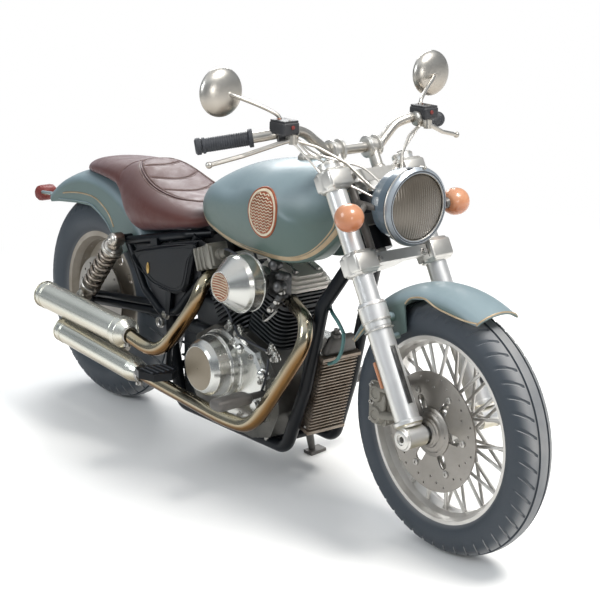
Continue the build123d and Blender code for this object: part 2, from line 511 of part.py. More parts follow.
# ---------------------------------------------------------------- engine
CASE_HALF = 112.0
CASE = ((604, 200), (650, 136), (900, 126), (985, 150), (1024, 230), (1014, 330), (960, 400), (850, 430),
        (720, 425), (620, 370))
case = plate(CASE, -CASE_HALF, CASE_HALF)
case = fillet(case.edges().filter_by(Axis.Y), 18)
BORE_R, FIN_R, DECK, FIN_TOP, COVER = 60.0, 82.0, 112.0, 262.0, 62.0
FIN_PITCH, FIN_T = 13.0, 5.0
V_MIDDLE = sum(tilt for _, tilt in CYLINDERS) / 2
V_GAP = 2.0                     # between the two cylinders at the V's middle plane
for name, tilt in CYLINDERS:
    up = Vector(sin(radians(tilt)), 0, cos(radians(tilt)))
    across = Vector(cos(radians(tilt)), 0, -sin(radians(tilt)))
    plane = Plane(origin=(CRANK[0], 0, CRANK[1]), x_dir=across, z_dir=up)
    barrel = Solid.make_cylinder(BORE_R, FIN_TOP - DECK, plane.offset(DECK))
    fin = extrude(RectangleRounded(2 * FIN_R - 8, 2 * FIN_R, 34), FIN_T)
    fins = [plane.offset(DECK + 22 + n * FIN_PITCH).location * fin for n in range(10)]
    head = plane.offset(FIN_TOP).location * extrude(RectangleRounded(146, 160, 26), COVER)
    groove = extrude(RectangleRounded(170, 192, 34), 7) - extrude(RectangleRounded(126, 140, 20), 7)
    cuts = [plane.offset(FIN_TOP + 12 + n * FIN_PITCH).location * groove for n in range(4)]
    split = Plane(origin=(CRANK[0], 0, CRANK[1]),
                  x_dir=(cos(radians(V_MIDDLE)), 0, -sin(radians(V_MIDDLE))),
                  z_dir=(sin(radians(V_MIDDLE)), 0, cos(radians(V_MIDDLE))))
    away = 1 if tilt > V_MIDDLE else -1
    beyond = split.location * (Pos((V_GAP / 2 - 200) * away, 0, 200) * Box(400, 400, 500))
    nodes["cylinder_" + name] = (barrel + fins - beyond) - case + (head - cuts)
    lid = plane.offset(FIN_TOP + COVER).location * extrude(RectangleRounded(160, 164, 30), 10)
    for n, (wide, deep) in enumerate(((150, 152), (134, 136), (116, 118))):
        step = extrude(RectangleRounded(wide, deep, 26), 10)
        lid += plane.offset(FIN_TOP + COVER + 10 + n * 10).location * step
    nodes["rocker_cover_" + name] = lid
nodes["engine_case"] = case - nodes["frame"]
engine_tops = [nodes[kind + name] for kind in ("cylinder_", "rocker_cover_") for name, _ in CYLINDERS]

OUTWARD = Vector(0, -1, 0)      # toward the rider's right
clutch = turned((797, -CASE_HALF, 329), OUTWARD, [(0, 104), (34, 104), (38, 96), (58, 95), (66, 90), (98, 82),
                                                   (112, 72), (118, 65)])
SIDE_PAD = ((800, 180), (985, 200), (996, 330), (944, 396), (850, 422), (760, 414))
side_pad = plate(SIDE_PAD, -CASE_HALF, -CASE_HALF - 34)
side_pad = chamfer(side_pad.faces().sort_by(Axis.Y)[0].edges(), 8)
side_pad += turned((887, -CASE_HALF - 34, 396), OUTWARD, [(0, 16), (8, 15), (14, 8)])
nodes["crankcase_cover"] = side_pad + clutch
PRIMARY = ((640, 200), (700, 170), (900, 170), (990, 226), (990, 330), (920, 396), (700, 392), (640, 330))
primary = plate(PRIMARY, CASE_HALF, CASE_HALF + 74)
nodes["primary_cover"] = chamfer(primary.faces().sort_by(Axis.Y)[-1].edges(), 12) - nodes["frame"]

cleaner = turned((936, -96, 603), OUTWARD, [(0, 38), (46, 38), (46, 70), (60, 81), (96, 81), (110, 76),
                                             (150, 46), (156, 42)])
intake = rod((844, 0, 560), (920, -110, 600), 30) + rod((844, -30, 560), (844, 30, 560), 38)
nodes["air_cleaner"] = cleaner + intake - engine_tops

# ---------------------------------------------------------------- exhaust
SIL_Y = -224.0
FRONT_PORT, REAR_PORT = (970, -40, 548), (690, -40, 580)       # exhaust ports of the two cylinders
header_front = pipe([FRONT_PORT, (1080, -92, 548), (1162, -130, 542), (1184, -152, 478), (1104, -170, 350),
                     (1000, -188, 204), (900, -200, 196), (470, -208, 226)], PIPE_R, 38)
nodes["exhaust_header_front"] = header_front - engine_tops
header_rear = pipe([REAR_PORT, (736, -168, 568), (728, -190, 500), (592, -200, 342), (520, -208, 312),
                    (425, SIL_Y, 338)], PIPE_R, 40)
nodes["exhaust_header_rear"] = header_rear - engine_tops
upper0, upper1 = Vector(-84, SIL_Y, 358.6), Vector(428, SIL_Y, 340)
line = (upper1 - upper0).normalized()
upper = turned(upper0, line, [(0, 34), (4, 41), (34, 41), (36, 43), (458, 43), (462, 47), (488, 47), (496, 40),
                              (512, PIPE_R + 3)])
nodes["silencer_upper"] = upper - rod(upper0 - line, upper0 + line * 40, 26) - nodes["exhaust_header_rear"]
lower0, lower1 = Vector(14, SIL_Y + 8, 261.4), Vector(470, -208, 226)
line = (lower1 - lower0).normalized()
lower = turned(lower0, line, [(0, 32), (4, 38), (30, 38), (32, 39), (412, 39), (432, 34), (457, PIPE_R + 3)])
nodes["silencer_lower"] = lower - rod(lower0 - line, lower0 + line * 40, 24) - nodes["exhaust_header_front"]

# ---------------------------------------------------------------- oil cooler
slope = (Vector(1133, 0, 440) - Vector(1066, 0, 200)).normalized()
cooler_plane = Plane(origin=(1078, 0, 195), x_dir=Vector(slope.Z, 0, -slope.X), z_dir=slope)
cooler = cooler_plane.location * (Pos(0, 0, 115) * Box(26, 118, 230))
for n in range(22):
    cooler += cooler_plane.location * (Pos(0, 0, 8 + n * 10.2) * Box(42, 122, 3.4))
for z in (-4, 234):
    cooler += cooler_plane.location * (Pos(0, 0, z) * Box(48, 134, 10))
nodes["oil_cooler"] = cooler - nodes["frame"]

# ---------------------------------------------------------------- foot controls and stand
peg_line = Vector(-12, -190, -10).normalized()
inner = Vector(990, -CASE_HALF + 2, 290)
peg = rod(inner, inner + peg_line * 84, 10)
pad = Plane(origin=inner + peg_line * 136, x_dir=Vector(1, 0, 0) - peg_line * peg_line.X, z_dir=peg_line).location
nodes["front_peg_right"] = peg + pad * fillet(Box(46, 26, 112).edges(), 6) - case - nodes["crankcase_cover"]
left = rod((978, 178, 266), (973, 206, 269), 10)
left += Pos(972, 246, 272) * fillet(Box(46, 112, 26).edges(), 6)
nodes["front_peg_left"] = left - case - nodes["primary_cover"]
# passenger peg pads, welded to the frame's stubs: outline in x and y
PEG_PAD = ((650, 222), (690, 226), (712, 262), (694, 312), (640, 330), (600, 316), (612, 250))
for name, side in SIDES:
    face = make_face(Polyline(*[(x, y * side, PEG_Z - 12) for x, y in PEG_PAD], close=True))
    nodes["frame"] += extrude(face, amount=22, dir=(0, 0, 1))
PIVOT_BORE = 8.0 + RUN
FOOT = Vector(862, 150, 0)
FOOT.Z = FOOT.Y * tan(radians(LEAN))
hub = rod(STAND_PIVOT + Vector(0, 122, 0), STAND_PIVOT + Vector(0, 156, 0), 22)
leg = cone(STAND_PIVOT + Vector(0, 139, 0), FOOT + Vector(0, -8, 8), 15, 10)
lift = 5.0 / cos(radians(LEAN))
leg += Pos(FOOT.X + 4, FOOT.Y, FOOT.Z + lift) * (Rot(LEAN, 0, 0) * Box(38, 56, 10))
nodes["side_stand"] = hub + leg - rod(STAND_PIVOT, STAND_PIVOT + Vector(0, 170, 0), PIVOT_BORE)


# ---------------------------------------------------------------- lean onto the stand, centre, write
lean = Rot(-LEAN, 0, 0)
parked = {name: lean * shape for name, shape in nodes.items()}
boxes = [shape.bounding_box() for shape in parked.values()]
low = [min(getattr(b.min, k) for b in boxes) for k in "XYZ"]
high = [max(getattr(b.max, k) for b in boxes) for k in "XYZ"]
shift = Vector(-(low[0] + high[0]) / 2, -(low[1] + high[1]) / 2, 0)
for name, shape in parked.items():
    export_step(Pos(*shift) * shape, "parts/" + name + ".step")
print("shift", shift.X, shift.Y, "low z", low[2], "nodes", len(nodes))
print("size", [top - foot for top, foot in zip(high, low)])
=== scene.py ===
# %% [markdown]
# # Dressing a V-twin cruiser motorcycle
#
# Everything that makes it look real is added here: paint, chrome, rubber and leather, then the small
# parts that a builder would bolt, stitch or press on. Each step first says what the piece is on the real
# machine and why it is made the way it is.

# %% Load the frame
import bpy, bmesh, json
import numpy as np
from math import sin, cos, atan2, radians, pi, hypot, sqrt
from mathutils import Vector, Matrix
from mathutils.bvhtree import BVHTree


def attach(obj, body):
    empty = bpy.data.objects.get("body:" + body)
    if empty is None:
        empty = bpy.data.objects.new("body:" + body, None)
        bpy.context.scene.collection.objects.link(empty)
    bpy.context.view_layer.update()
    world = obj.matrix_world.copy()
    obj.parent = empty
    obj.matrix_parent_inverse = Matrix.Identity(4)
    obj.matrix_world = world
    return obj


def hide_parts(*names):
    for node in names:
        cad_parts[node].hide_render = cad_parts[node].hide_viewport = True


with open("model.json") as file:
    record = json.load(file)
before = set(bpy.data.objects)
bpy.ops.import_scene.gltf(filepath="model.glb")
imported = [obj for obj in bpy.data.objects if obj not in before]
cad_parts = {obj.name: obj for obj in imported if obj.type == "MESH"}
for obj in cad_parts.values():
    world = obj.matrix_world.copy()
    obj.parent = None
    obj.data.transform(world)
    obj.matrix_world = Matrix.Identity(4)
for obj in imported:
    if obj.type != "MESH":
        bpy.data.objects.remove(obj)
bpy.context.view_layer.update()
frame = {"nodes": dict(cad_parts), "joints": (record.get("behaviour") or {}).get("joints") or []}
nodes = frame["nodes"]

# %% [markdown]
# ## One upright ruler for a leaning machine
#
# The machine rests on its side stand, leaning six degrees, so its own left and up aren't the room's.
# Every size below is read off the upright machine in millimetres: x ahead of the rear axle, y to the
# rider's left, z above the road. `at` turns such a point into the leaning machine's metres, and the front
# axle's place ties the two together. A leaning tyre stands on the side of its crown, which lifts its axle
# a little.

# %% Upright millimetres to leaning metres
LEAN, RAKE = radians(6), radians(29.3)
WHEELBASE = 1600
FRONT_R, FRONT_CROWN = 335, 59
REAR_R, REAR_CROWN = 343, 77
FORK_Y = 128
AHEAD, LEFT, UP = Vector((1, 0, 0)), Vector((0, 1, 0)), Vector((0, 0, 1))
RIGHT, DOWN = -LEFT, -UP
TURN = Matrix.Rotation(-LEAN, 3, "X")
FRONT_AXLE = Vector((WHEELBASE, 0, FRONT_R + FRONT_CROWN * (1 / cos(LEAN) - 1)))
REAR_AXLE = Vector((0, 0, REAR_R + REAR_CROWN * (1 / cos(LEAN) - 1)))
hinge = next(j for j in frame["joints"] if j["name"] == "front_wheel_spin")
SHIFT = Vector(hinge["pos_m"]) - TURN @ FRONT_AXLE / 1000


def at(x, y, z):
    """A point of the upright machine, in the room."""
    return TURN @ Vector((x, y, z)) / 1000 + SHIFT


def fork(s, y, lead=0.0):
    """A point on the fork: s up the leg from the axle, y across, lead ahead of the leg's line."""
    return Vector((WHEELBASE - s * sin(RAKE) + lead * cos(RAKE), y,
                   FRONT_AXLE.z + s * cos(RAKE) + lead * sin(RAKE)))


def dial(axle, angle, r, y=0.0):
    """A point on a wheel: degrees from straight up toward the front, distance from the axle, y across."""
    return axle + Vector((r * sin(radians(angle)), y, r * cos(radians(angle))))


FORK_UP = (fork(1, 0) - fork(0, 0)).normalized()
FORK_FWD = (fork(0, 0, 1) - fork(0, 0)).normalized()
print("front axle at", [round(v, 3) for v in at(*FRONT_AXLE)])

# %% [markdown]
# ## A bench for shaping parts
#
# Small parts on a motorcycle come from few processes: turned on a lathe, bent from tube, milled from a
# block, or headed like a bolt. The bench below has one tool for each. A tool only collects points and
# faces, in upright millimetres, so one finished piece can hold a whole row of bolts and stay cheap to
# render.

# %% Lines and circles
def square(line):
    """Two directions square to a line and to each other."""
    line = Vector(line).normalized()
    side = line.cross(UP) if abs(line.z) < 0.9 else line.cross(AHEAD)
    side.normalize()
    return side, line.cross(side).normalized()


def circle(centre, u, v, r, count):
    """Points round a centre, in the plane of u and v."""
    return [centre + (u * cos(2 * pi * k / count) + v * sin(2 * pi * k / count)) * r for k in range(count)]


def hoop(centre, line, r, count=72):
    """A closed circle of points about a line."""
    return circle(Vector(centre), *square(line), r, count)


def smooth_line(points, steps=8, closed=False):
    """A curve through the points, rounded between them."""
    p = [Vector(q) for q in points]
    n = len(p)
    out = []
    for i in range(n if closed else n - 1):
        a, b, c, d = (p[(i + k) % n] if closed else p[min(max(i + k, 0), n - 1)] for k in (-1, 0, 1, 2))
        for t in (k / steps for k in range(steps)):
            out.append(0.5 * (2 * b + (c - a) * t + (2 * a - 5 * b + 4 * c - d) * t ** 2
                              + (3 * b - a - 3 * c + d) * t ** 3))
    return out if closed else out + [p[-1]]


print("an eased corner has", len(smooth_line(((0, 0, 0), (9, 0, 0), (9, 9, 0)))), "points")

# %% The bench
# Bolt heads as turned profiles: (part of the height, part of the radius)
HEADS = {"socket": ((0, 1), (0.9, 1), (1, 0.9), (1, 0.55), (0.4, 0.5), (0.4, 0)),
         "dome": ((0, 1), (0.45, 0.94), (0.8, 0.66), (1, 0.3), (1, 0))}
HEXAGON = ((0, 1.155), (0.8, 1.155), (1, 1))


class Bench:
    """Collects points and faces in upright millimetres, then makes one object of them."""

    def __init__(self):
        self.points, self.faces = [], []

    def add(self, points, faces):
        start = len(self.points)
        self.points += [Vector(p) for p in points]
        self.faces += [[start + i for i in f] for f in faces]
        return self

    def grid(self, rows, closed_rows=False, closed_columns=False, caps=False):
        """Skins a table of points; caps close its first and last rows."""
        high, wide = len(rows), len(rows[0])
        faces = [[i * wide + j, i * wide + (j + 1) % wide, (i + 1) % high * wide + (j + 1) % wide,
                  (i + 1) % high * wide + j]
                 for i in range(high if closed_rows else high - 1)
                 for j in range(wide if closed_columns else wide - 1)]
        if caps:
            faces += [list(range(wide))[::-1], list(range((high - 1) * wide, high * wide))]
        return self.add([p for row in rows for p in row], faces)

    def lathe(self, foot, line, profile, sides=32, caps=True):
        """Turns a profile of (distance along, radius) about a line."""
        foot, line, (u, v) = Vector(foot), Vector(line).normalized(), square(line)
        return self.grid([circle(foot + line * s, u, v, r, sides) for s, r in profile],
                         closed_columns=True, caps=caps)

    def tube(self, points, radius, sides=12, closed=False):
        """A round tube along a line of points; radius may be a list."""
        p = [Vector(q) for q in points]
        n = len(p)
        radii = radius if isinstance(radius, (list, tuple)) else [radius] * n
        rows, u = [], None
        for i in range(n):
            before, after = (i - 1, (i + 1) % n) if closed else (max(i - 1, 0), min(i + 1, n - 1))
            run = (p[after] - p[before]).normalized()
            u = square(run)[0] if u is None else (u - run * u.dot(run)).normalized()
            rows.append(circle(p[i], u, run.cross(u), radii[i], sides))
        return self.grid(rows, closed_rows=closed, closed_columns=True, caps=not closed)

    def ring(self, centre, line, r, thick, count=96, sides=8):
        """A round bead bent into a hoop."""
        return self.tube(hoop(centre, line, r, count), thick, sides, closed=True)

    def bolt(self, foot, line, across=12, high=7, washer=True, kind="hex"):
        """A bolt head on its washer: a chamfered hexagon, a socket cap or a dome."""
        r, base = across / 2, across * 0.12 if washer else 0.0
        if washer:
            disc = ((0, across * 0.78), (base * 0.7, across * 0.78), (base, across * 0.72))
            self.lathe(foot, line, disc, 20)
        if kind == "hex":
            self.lathe(foot, line, [(base + high * s, r * k) for s, k in HEXAGON], 6, caps=False)
            self.faces.append(list(range(len(self.points) - 6, len(self.points))))
            return self
        head = [(base + high * s, max(0.01, r * k)) for s, k in HEADS[kind]]
        return self.lathe(foot, line, head, 18, caps=False)

    def block(self, centre, size, axes=(AHEAD, LEFT, UP), round_r=2.0, taper=1.0):
        """A milled block with rounded edges; axes are its own x, y and z."""
        axes = [Vector(a).normalized() for a in axes]
        shop = bmesh.new()
        bmesh.ops.create_cube(shop, size=1)
        for p in shop.verts:
            k = taper if p.co.z > 0 else 1.0
            p.co = Vector((p.co.x * size[0] * k, p.co.y * size[1] * k, p.co.z * size[2]))
        if round_r:
            bmesh.ops.bevel(shop, geom=shop.edges[:], offset=round_r, segments=3, profile=0.5, affect="EDGES")
        shop.verts.index_update()
        points = [Vector(centre) + sum((a * k for a, k in zip(axes, p.co)), Vector()) for p in shop.verts]
        self.add(points, [[p.index for p in f.verts] for f in shop.faces])
        shop.free()
        return self

    def make(self, name, body, look, slot, sharp=35, stands_for=()):
        """The finished piece: leant with the machine, riding on its body, with its finish."""
        mesh = bpy.data.meshes.new(name)
        mesh.from_pydata([at(*p) for p in self.points], [], self.faces)
        mesh.update()
        shop = bmesh.new()
        shop.from_mesh(mesh)
        bmesh.ops.recalc_face_normals(shop, faces=shop.faces)
        shop.to_mesh(mesh)
        shop.free()
        mesh.polygons.foreach_set("use_smooth", [True] * len(mesh.polygons))
        if sharp:
            mesh.set_sharp_from_angle(angle=radians(sharp))
        mesh.materials.append(LOOK[look])
        piece = bpy.data.objects.new(name, mesh)
        bpy.context.scene.collection.objects.link(piece)
        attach(piece, body)
        if stands_for:
            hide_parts(*stands_for)
        return piece


def benches(count):
    """Several empty benches, for parts shaped together in one loop."""
    return [Bench() for _ in range(count)]


def skin_of(mesh):
    """A mesh's surface, to lay things on: a search tree in the room's metres."""
    return BVHTree.FromPolygons([v.co for v in mesh.vertices], [list(p.vertices) for p in mesh.polygons])


def lay(tree, point, way, proud=0.0):
    """Where a line from an upright point first meets a surface, in upright millimetres, and the way out."""
    way = Vector(way).normalized()
    hit, normal, _, _ = tree.ray_cast(at(*point), TURN @ way)
    if hit is None:
        return None, None
    back = TURN.transposed()
    spot, out = back @ (hit - SHIFT) * 1000, (back @ normal).normalized()
    if out.dot(way) > 0:
        out = -out
    return spot + out * proud, out


print("bench ready")

# %% [markdown]
# ## The view
#
# The camera stands ahead of the machine on its right, a little above the axles, with a long lens, so the
# front wheel is large but not stretched. Its place is given round the upright machine and leans with it,
# because the machine fills the picture as it would standing straight.

# %% Camera
AZ, EL, ROLL = radians(51.6), radians(15.1), radians(0.84)
AIM, REACH, SENSOR = Vector((972, 0, 535)), 4673.0, 36
PICTURE_WIDTH, FOCAL_PIXELS = 600, 1653
back = Vector((sin(AZ) * cos(EL), -cos(AZ) * cos(EL), sin(EL)))
right = Vector((cos(AZ), sin(AZ), 0))
rise = back.cross(right)
spot = at(*(AIM + back * REACH))
axes = [TURN @ v for v in (right * cos(ROLL) + rise * sin(ROLL), rise * cos(ROLL) - right * sin(ROLL), back)]
camera = bpy.data.objects.new("view", bpy.data.cameras.new("view"))
camera.matrix_world = Matrix([[a[i] for a in axes] + [spot[i]] for i in range(3)] + [[0, 0, 0, 1]])
camera.data.lens, camera.data.sensor_width = FOCAL_PIXELS / PICTURE_WIDTH * SENSOR, SENSOR
camera.data.clip_end = 60
scene = bpy.context.scene
scene.collection.objects.link(camera)
scene.camera = camera
scene.view_settings.view_transform = "Standard"
print("camera at", [round(v, 2) for v in spot])

# %% [markdown]
# ## Shader graphs
#
# A finish is a graph of small nodes. The tools below each add one node and give its output, so that a
# recipe reads like a sum. A constant is always set on the socket itself, never fed in by a node of its
# own.

# %% Graph tools
class Graph:
    """The node tree of a material or world. A colour is (red, green, blue)."""

    def __init__(self, owner):
        owner.use_nodes = True
        self.tree = owner.node_tree

    def feed(self, node, inputs):
        """Fills a node's inputs with constants, colours or other nodes' outputs."""
        for key, value in inputs.items():
            if isinstance(value, bpy.types.NodeSocket):
                self.tree.links.new(value, node.inputs[key])
            else:
                node.inputs[key].default_value = (*value, 1) if isinstance(value, tuple) else value

    def add(self, kind, inputs=None, out=0, **settings):
        node = self.tree.nodes.new("ShaderNode" + kind)
        for key, value in settings.items():
            setattr(node, key, value)
        self.feed(node, inputs or {})
        return node.outputs[out]

    def maths(self, operation, *values):
        return self.add("Math", dict(enumerate(values)), operation=operation)

    def span(self, value, low, high, to=(0.0, 1.0), smooth=False):
        """How far a value is from low to high, told as a number from to[0] to to[1]."""
        limits = {"Value": value, "From Min": low, "From Max": high, "To Min": to[0], "To Max": to[1]}
        return self.add("MapRange", limits, interpolation_type="SMOOTHSTEP" if smooth else "LINEAR")

    def part(self, vector, axis):
        return self.add("SeparateXYZ", {0: vector}, axis)

    def mix(self, factor, a, b):
        """Two colours mixed."""
        return self.add("Mix", {"Factor": factor, "A": a, "B": b}, "Result", data_type="RGBA")


def new_finish(name):
    """An empty material, its graph and its main shader."""
    made = bpy.data.materials.new(name)
    g = Graph(made)
    return made, g, g.tree.nodes["Principled BSDF"]


print("graph tools ready")

# %% [markdown]
# ## Studio
#
# Chrome shows whatever stands around it, so the room matters more than the lamps. The sky of this studio
# is bright above, dim at the horizon and warm below, which gives every tube a light top, a dark waist and
# a warm belly. Four soft lamps add the highlights: a big key high on the picture's right, a cooler fill
# on the left, a weak one low in front for the tyre and exhaust, and a rim lamp from behind. The floor is
# plain and pale and keeps the shadow; further out, and behind the machine, the camera sees plain white.

# %% Floor and sky
FLOOR_HALF, FADE_FROM, FADE_TO = 30, 0.9, 2.6
SKY = ((0.0, (0.30, 0.27, 0.23)), (0.44, (0.07, 0.07, 0.07)), (0.5, (0.10, 0.11, 0.11)),
       (0.56, (0.36, 0.39, 0.43)), (0.72, (0.15, 0.17, 0.19)), (0.86, (0.85, 0.90, 0.96)),
       (1.0, (1.0, 1.0, 1.0)))                          # height, colour
floor_mesh = bpy.data.meshes.new("floor")
corners = [(x * FLOOR_HALF, y * FLOOR_HALF, 0) for x, y in ((-1, -1), (1, -1), (1, 1), (-1, 1))]
floor_mesh.from_pydata(corners, [], [(0, 1, 2, 3)])
floor_plane = bpy.data.objects.new("floor", floor_mesh)
scene.collection.objects.link(floor_plane)
pale, g, shader = new_finish("floor_pale")
g.feed(shader, {"Base Color": (0.86, 0.86, 0.85), "Roughness": 0.9, "Specular IOR Level": 0.1})
away = g.add("VectorMath", {0: g.add("TexCoord", out="Object")}, "Value", operation="LENGTH")
seen = g.add("LightPath", out="Is Camera Ray")
fade = g.maths("MULTIPLY", g.span(away, FADE_FROM, FADE_TO, smooth=True), seen)
shown = g.add("MixShader", {0: fade, 1: shader.outputs[0], 2: g.add("Emission")})
g.feed(g.tree.nodes["Material Output"], {"Surface": shown})
floor_mesh.materials.append(pale)

scene.world = bpy.data.worlds.new("room")
g = Graph(scene.world)
height = g.part(g.add("TexCoord", out="Generated"), "Z")
sky = g.add("ValToRGB", {0: g.span(height, -1, 1)})
stops = sky.node.color_ramp.elements
while len(stops) < len(SKY):
    stops.new(0.5)
for stop, (place, colour) in zip(stops, SKY):
    stop.position, stop.color = place, (*colour, 1)
room = g.tree.nodes["Background"]
g.feed(room, {"Color": sky, "Strength": 0.85})
shown = g.add("MixShader", {0: g.add("LightPath", out="Is Camera Ray"), 1: room.outputs[0],
                            2: g.add("Background", {"Color": (1, 1, 1), "Strength": 1.0})})
g.feed(g.tree.nodes["World Output"], {"Surface": shown})
print("sky bands:", len(stops))

# %% Lamps
def lamp(name, place, aim, size, watts, colour):
    """A soft round lamp."""
    light = bpy.data.lights.new(name, "AREA")
    light.shape, light.size, light.energy, light.color = "DISK", size, watts, colour
    holder = bpy.data.objects.new(name, light)
    holder.location = place
    holder.rotation_mode = "QUATERNION"
    holder.rotation_quaternion = (Vector(aim) - Vector(place)).to_track_quat("-Z", "Y")
    scene.collection.objects.link(holder)


middle = Vector((0.1, -0.08, 0.55))
across, _, toward = axes
lamp("key", middle + across * 2.4 + UP * 3.6 + toward * 1.4, middle, 1.6, 230, (1, 0.97, 0.93))
lamp("fill", middle - across * 3.6 + UP * 1.6 + toward * 2.2, middle, 2.2, 80, (0.93, 0.97, 1))
lamp("low", middle + across * 1.6 - UP * 0.1 + toward * 3.4, middle - UP * 0.1, 1.0, 16, (1, 0.98, 0.95))
lamp("rim", middle - toward * 3.0 + UP * 3.0, middle, 2.0, 90, (1, 1, 1))
print("room and lamps ready")


# %% [markdown]
# ## Finishes
# Some finishes carry painted shade on faces turned to the road or sideways, and a faint painted glow.
#
# A finish is never one flat colour. Paint has depth and a faint orange peel, chrome picks up haze,
# castings are grainy, rubber greys at its edges, and every edge that hands or stones reach is rubbed
# bright. One recipe covers them all: a cloudy mix of two tones, a second, finer pattern for roughness, a
# bump for the grain, and a worn edge found by comparing the surface with a softly rounded copy of itself.
# The recipe uses the piece's own place, not a picture, so it holds on any shape.
#
# A roughness range stays wholly below or wholly above 0.27. The denoiser treats smooth and rough surfaces
# in two ways that part about there, and a range across it shows as mottled speckle.

# %% The finish recipe
def finish(name, base, second, rough, metal=0.0, cloud=7.0, fine=140.0, bump=0.1, depth=0.0006, coat=0.0,
           edge=None, edge_amount=0.6, soft=0.0012, shaded_under=None, painted_glow=None, shine=0.5, haze=0.06, shaded_sides=None,
           turn=(0.45, -0.55)):
    """A two-tone finish. rough is (lowest, highest). cloud and fine are the scales of the two patterns. bump
    and depth shape the grain. edge is the colour that worn edges show, and soft the radius that rounds hard
    edges. shaded_under is the colour of faces turned to the road, which is painted shade, and turn the slope
    where it begins and ends. shaded_sides is the colour of faces turned sideways: painted shade on the sides,
    leaving the crown between them painted light. painted_glow is a faint emission, a painted glow. shine is
    the specular level and haze the roughness of the coat."""
    made, g, shader = new_finish(name)
    place, facing = g.add("TexCoord", out="Object"), g.add("NewGeometry", out="Normal")

    def noise(scale, detail):
        return g.add("TexNoise", {"Vector": place, "Scale": scale, "Detail": detail, "Roughness": 0.55})

    clouds, grain = noise(cloud, 5), noise(fine, 3)
    colour = g.mix(g.span(clouds, 0.32, 0.68), base, second)
    # Painted shade: faces turned to the road are mixed toward a darker under colour.
    if shaded_under:
        colour = g.mix(g.span(g.part(facing, "Z"), *turn, smooth=True), colour, shaded_under)
    # Painted light and shade: faces turned sideways are mixed toward a darker colour, so the crown reads lit.
    if shaded_sides:
        sideways = g.maths("ABSOLUTE", g.part(g.add("TexCoord", out="Normal"), "Y"))
        colour = g.mix(g.span(sideways, 0.45, 0.86, smooth=True), colour, shaded_sides)
    mottle = g.maths("MULTIPLY_ADD", grain, 0.5, g.maths("MULTIPLY", clouds, 0.5))
    normal = g.add("Bevel", {"Radius": soft}, samples=4) if soft else None
    if soft and edge:
        flatness = g.add("VectorMath", {0: normal, 1: facing}, "Value", operation="DOT_PRODUCT")
        worn = g.span(flatness, 0.985, 0.85, (0, edge_amount))
        colour = g.mix(g.maths("MULTIPLY", worn, g.span(noise(38, 4), 0.38, 0.6)), colour, edge)
    if bump:
        normal = g.add("Bump", {"Strength": bump, "Distance": depth, "Height": grain}
                       | ({"Normal": normal} if normal else {}))
    g.feed(shader, {"Base Color": colour, "Roughness": g.span(mottle, 0.3, 0.7, rough), "Metallic": metal,
                    "Specular IOR Level": shine} | ({"Normal": normal} if normal else {}))
    if coat:
        g.feed(shader, {"Coat Weight": coat, "Coat Roughness": haze})
    # Painted glow: a faint emission brightens the lens, with no lamp lit behind it.
    if painted_glow:
        g.feed(shader, {"Emission Color": painted_glow, "Emission Strength": 0.05})
    return made


print("finish recipe ready")
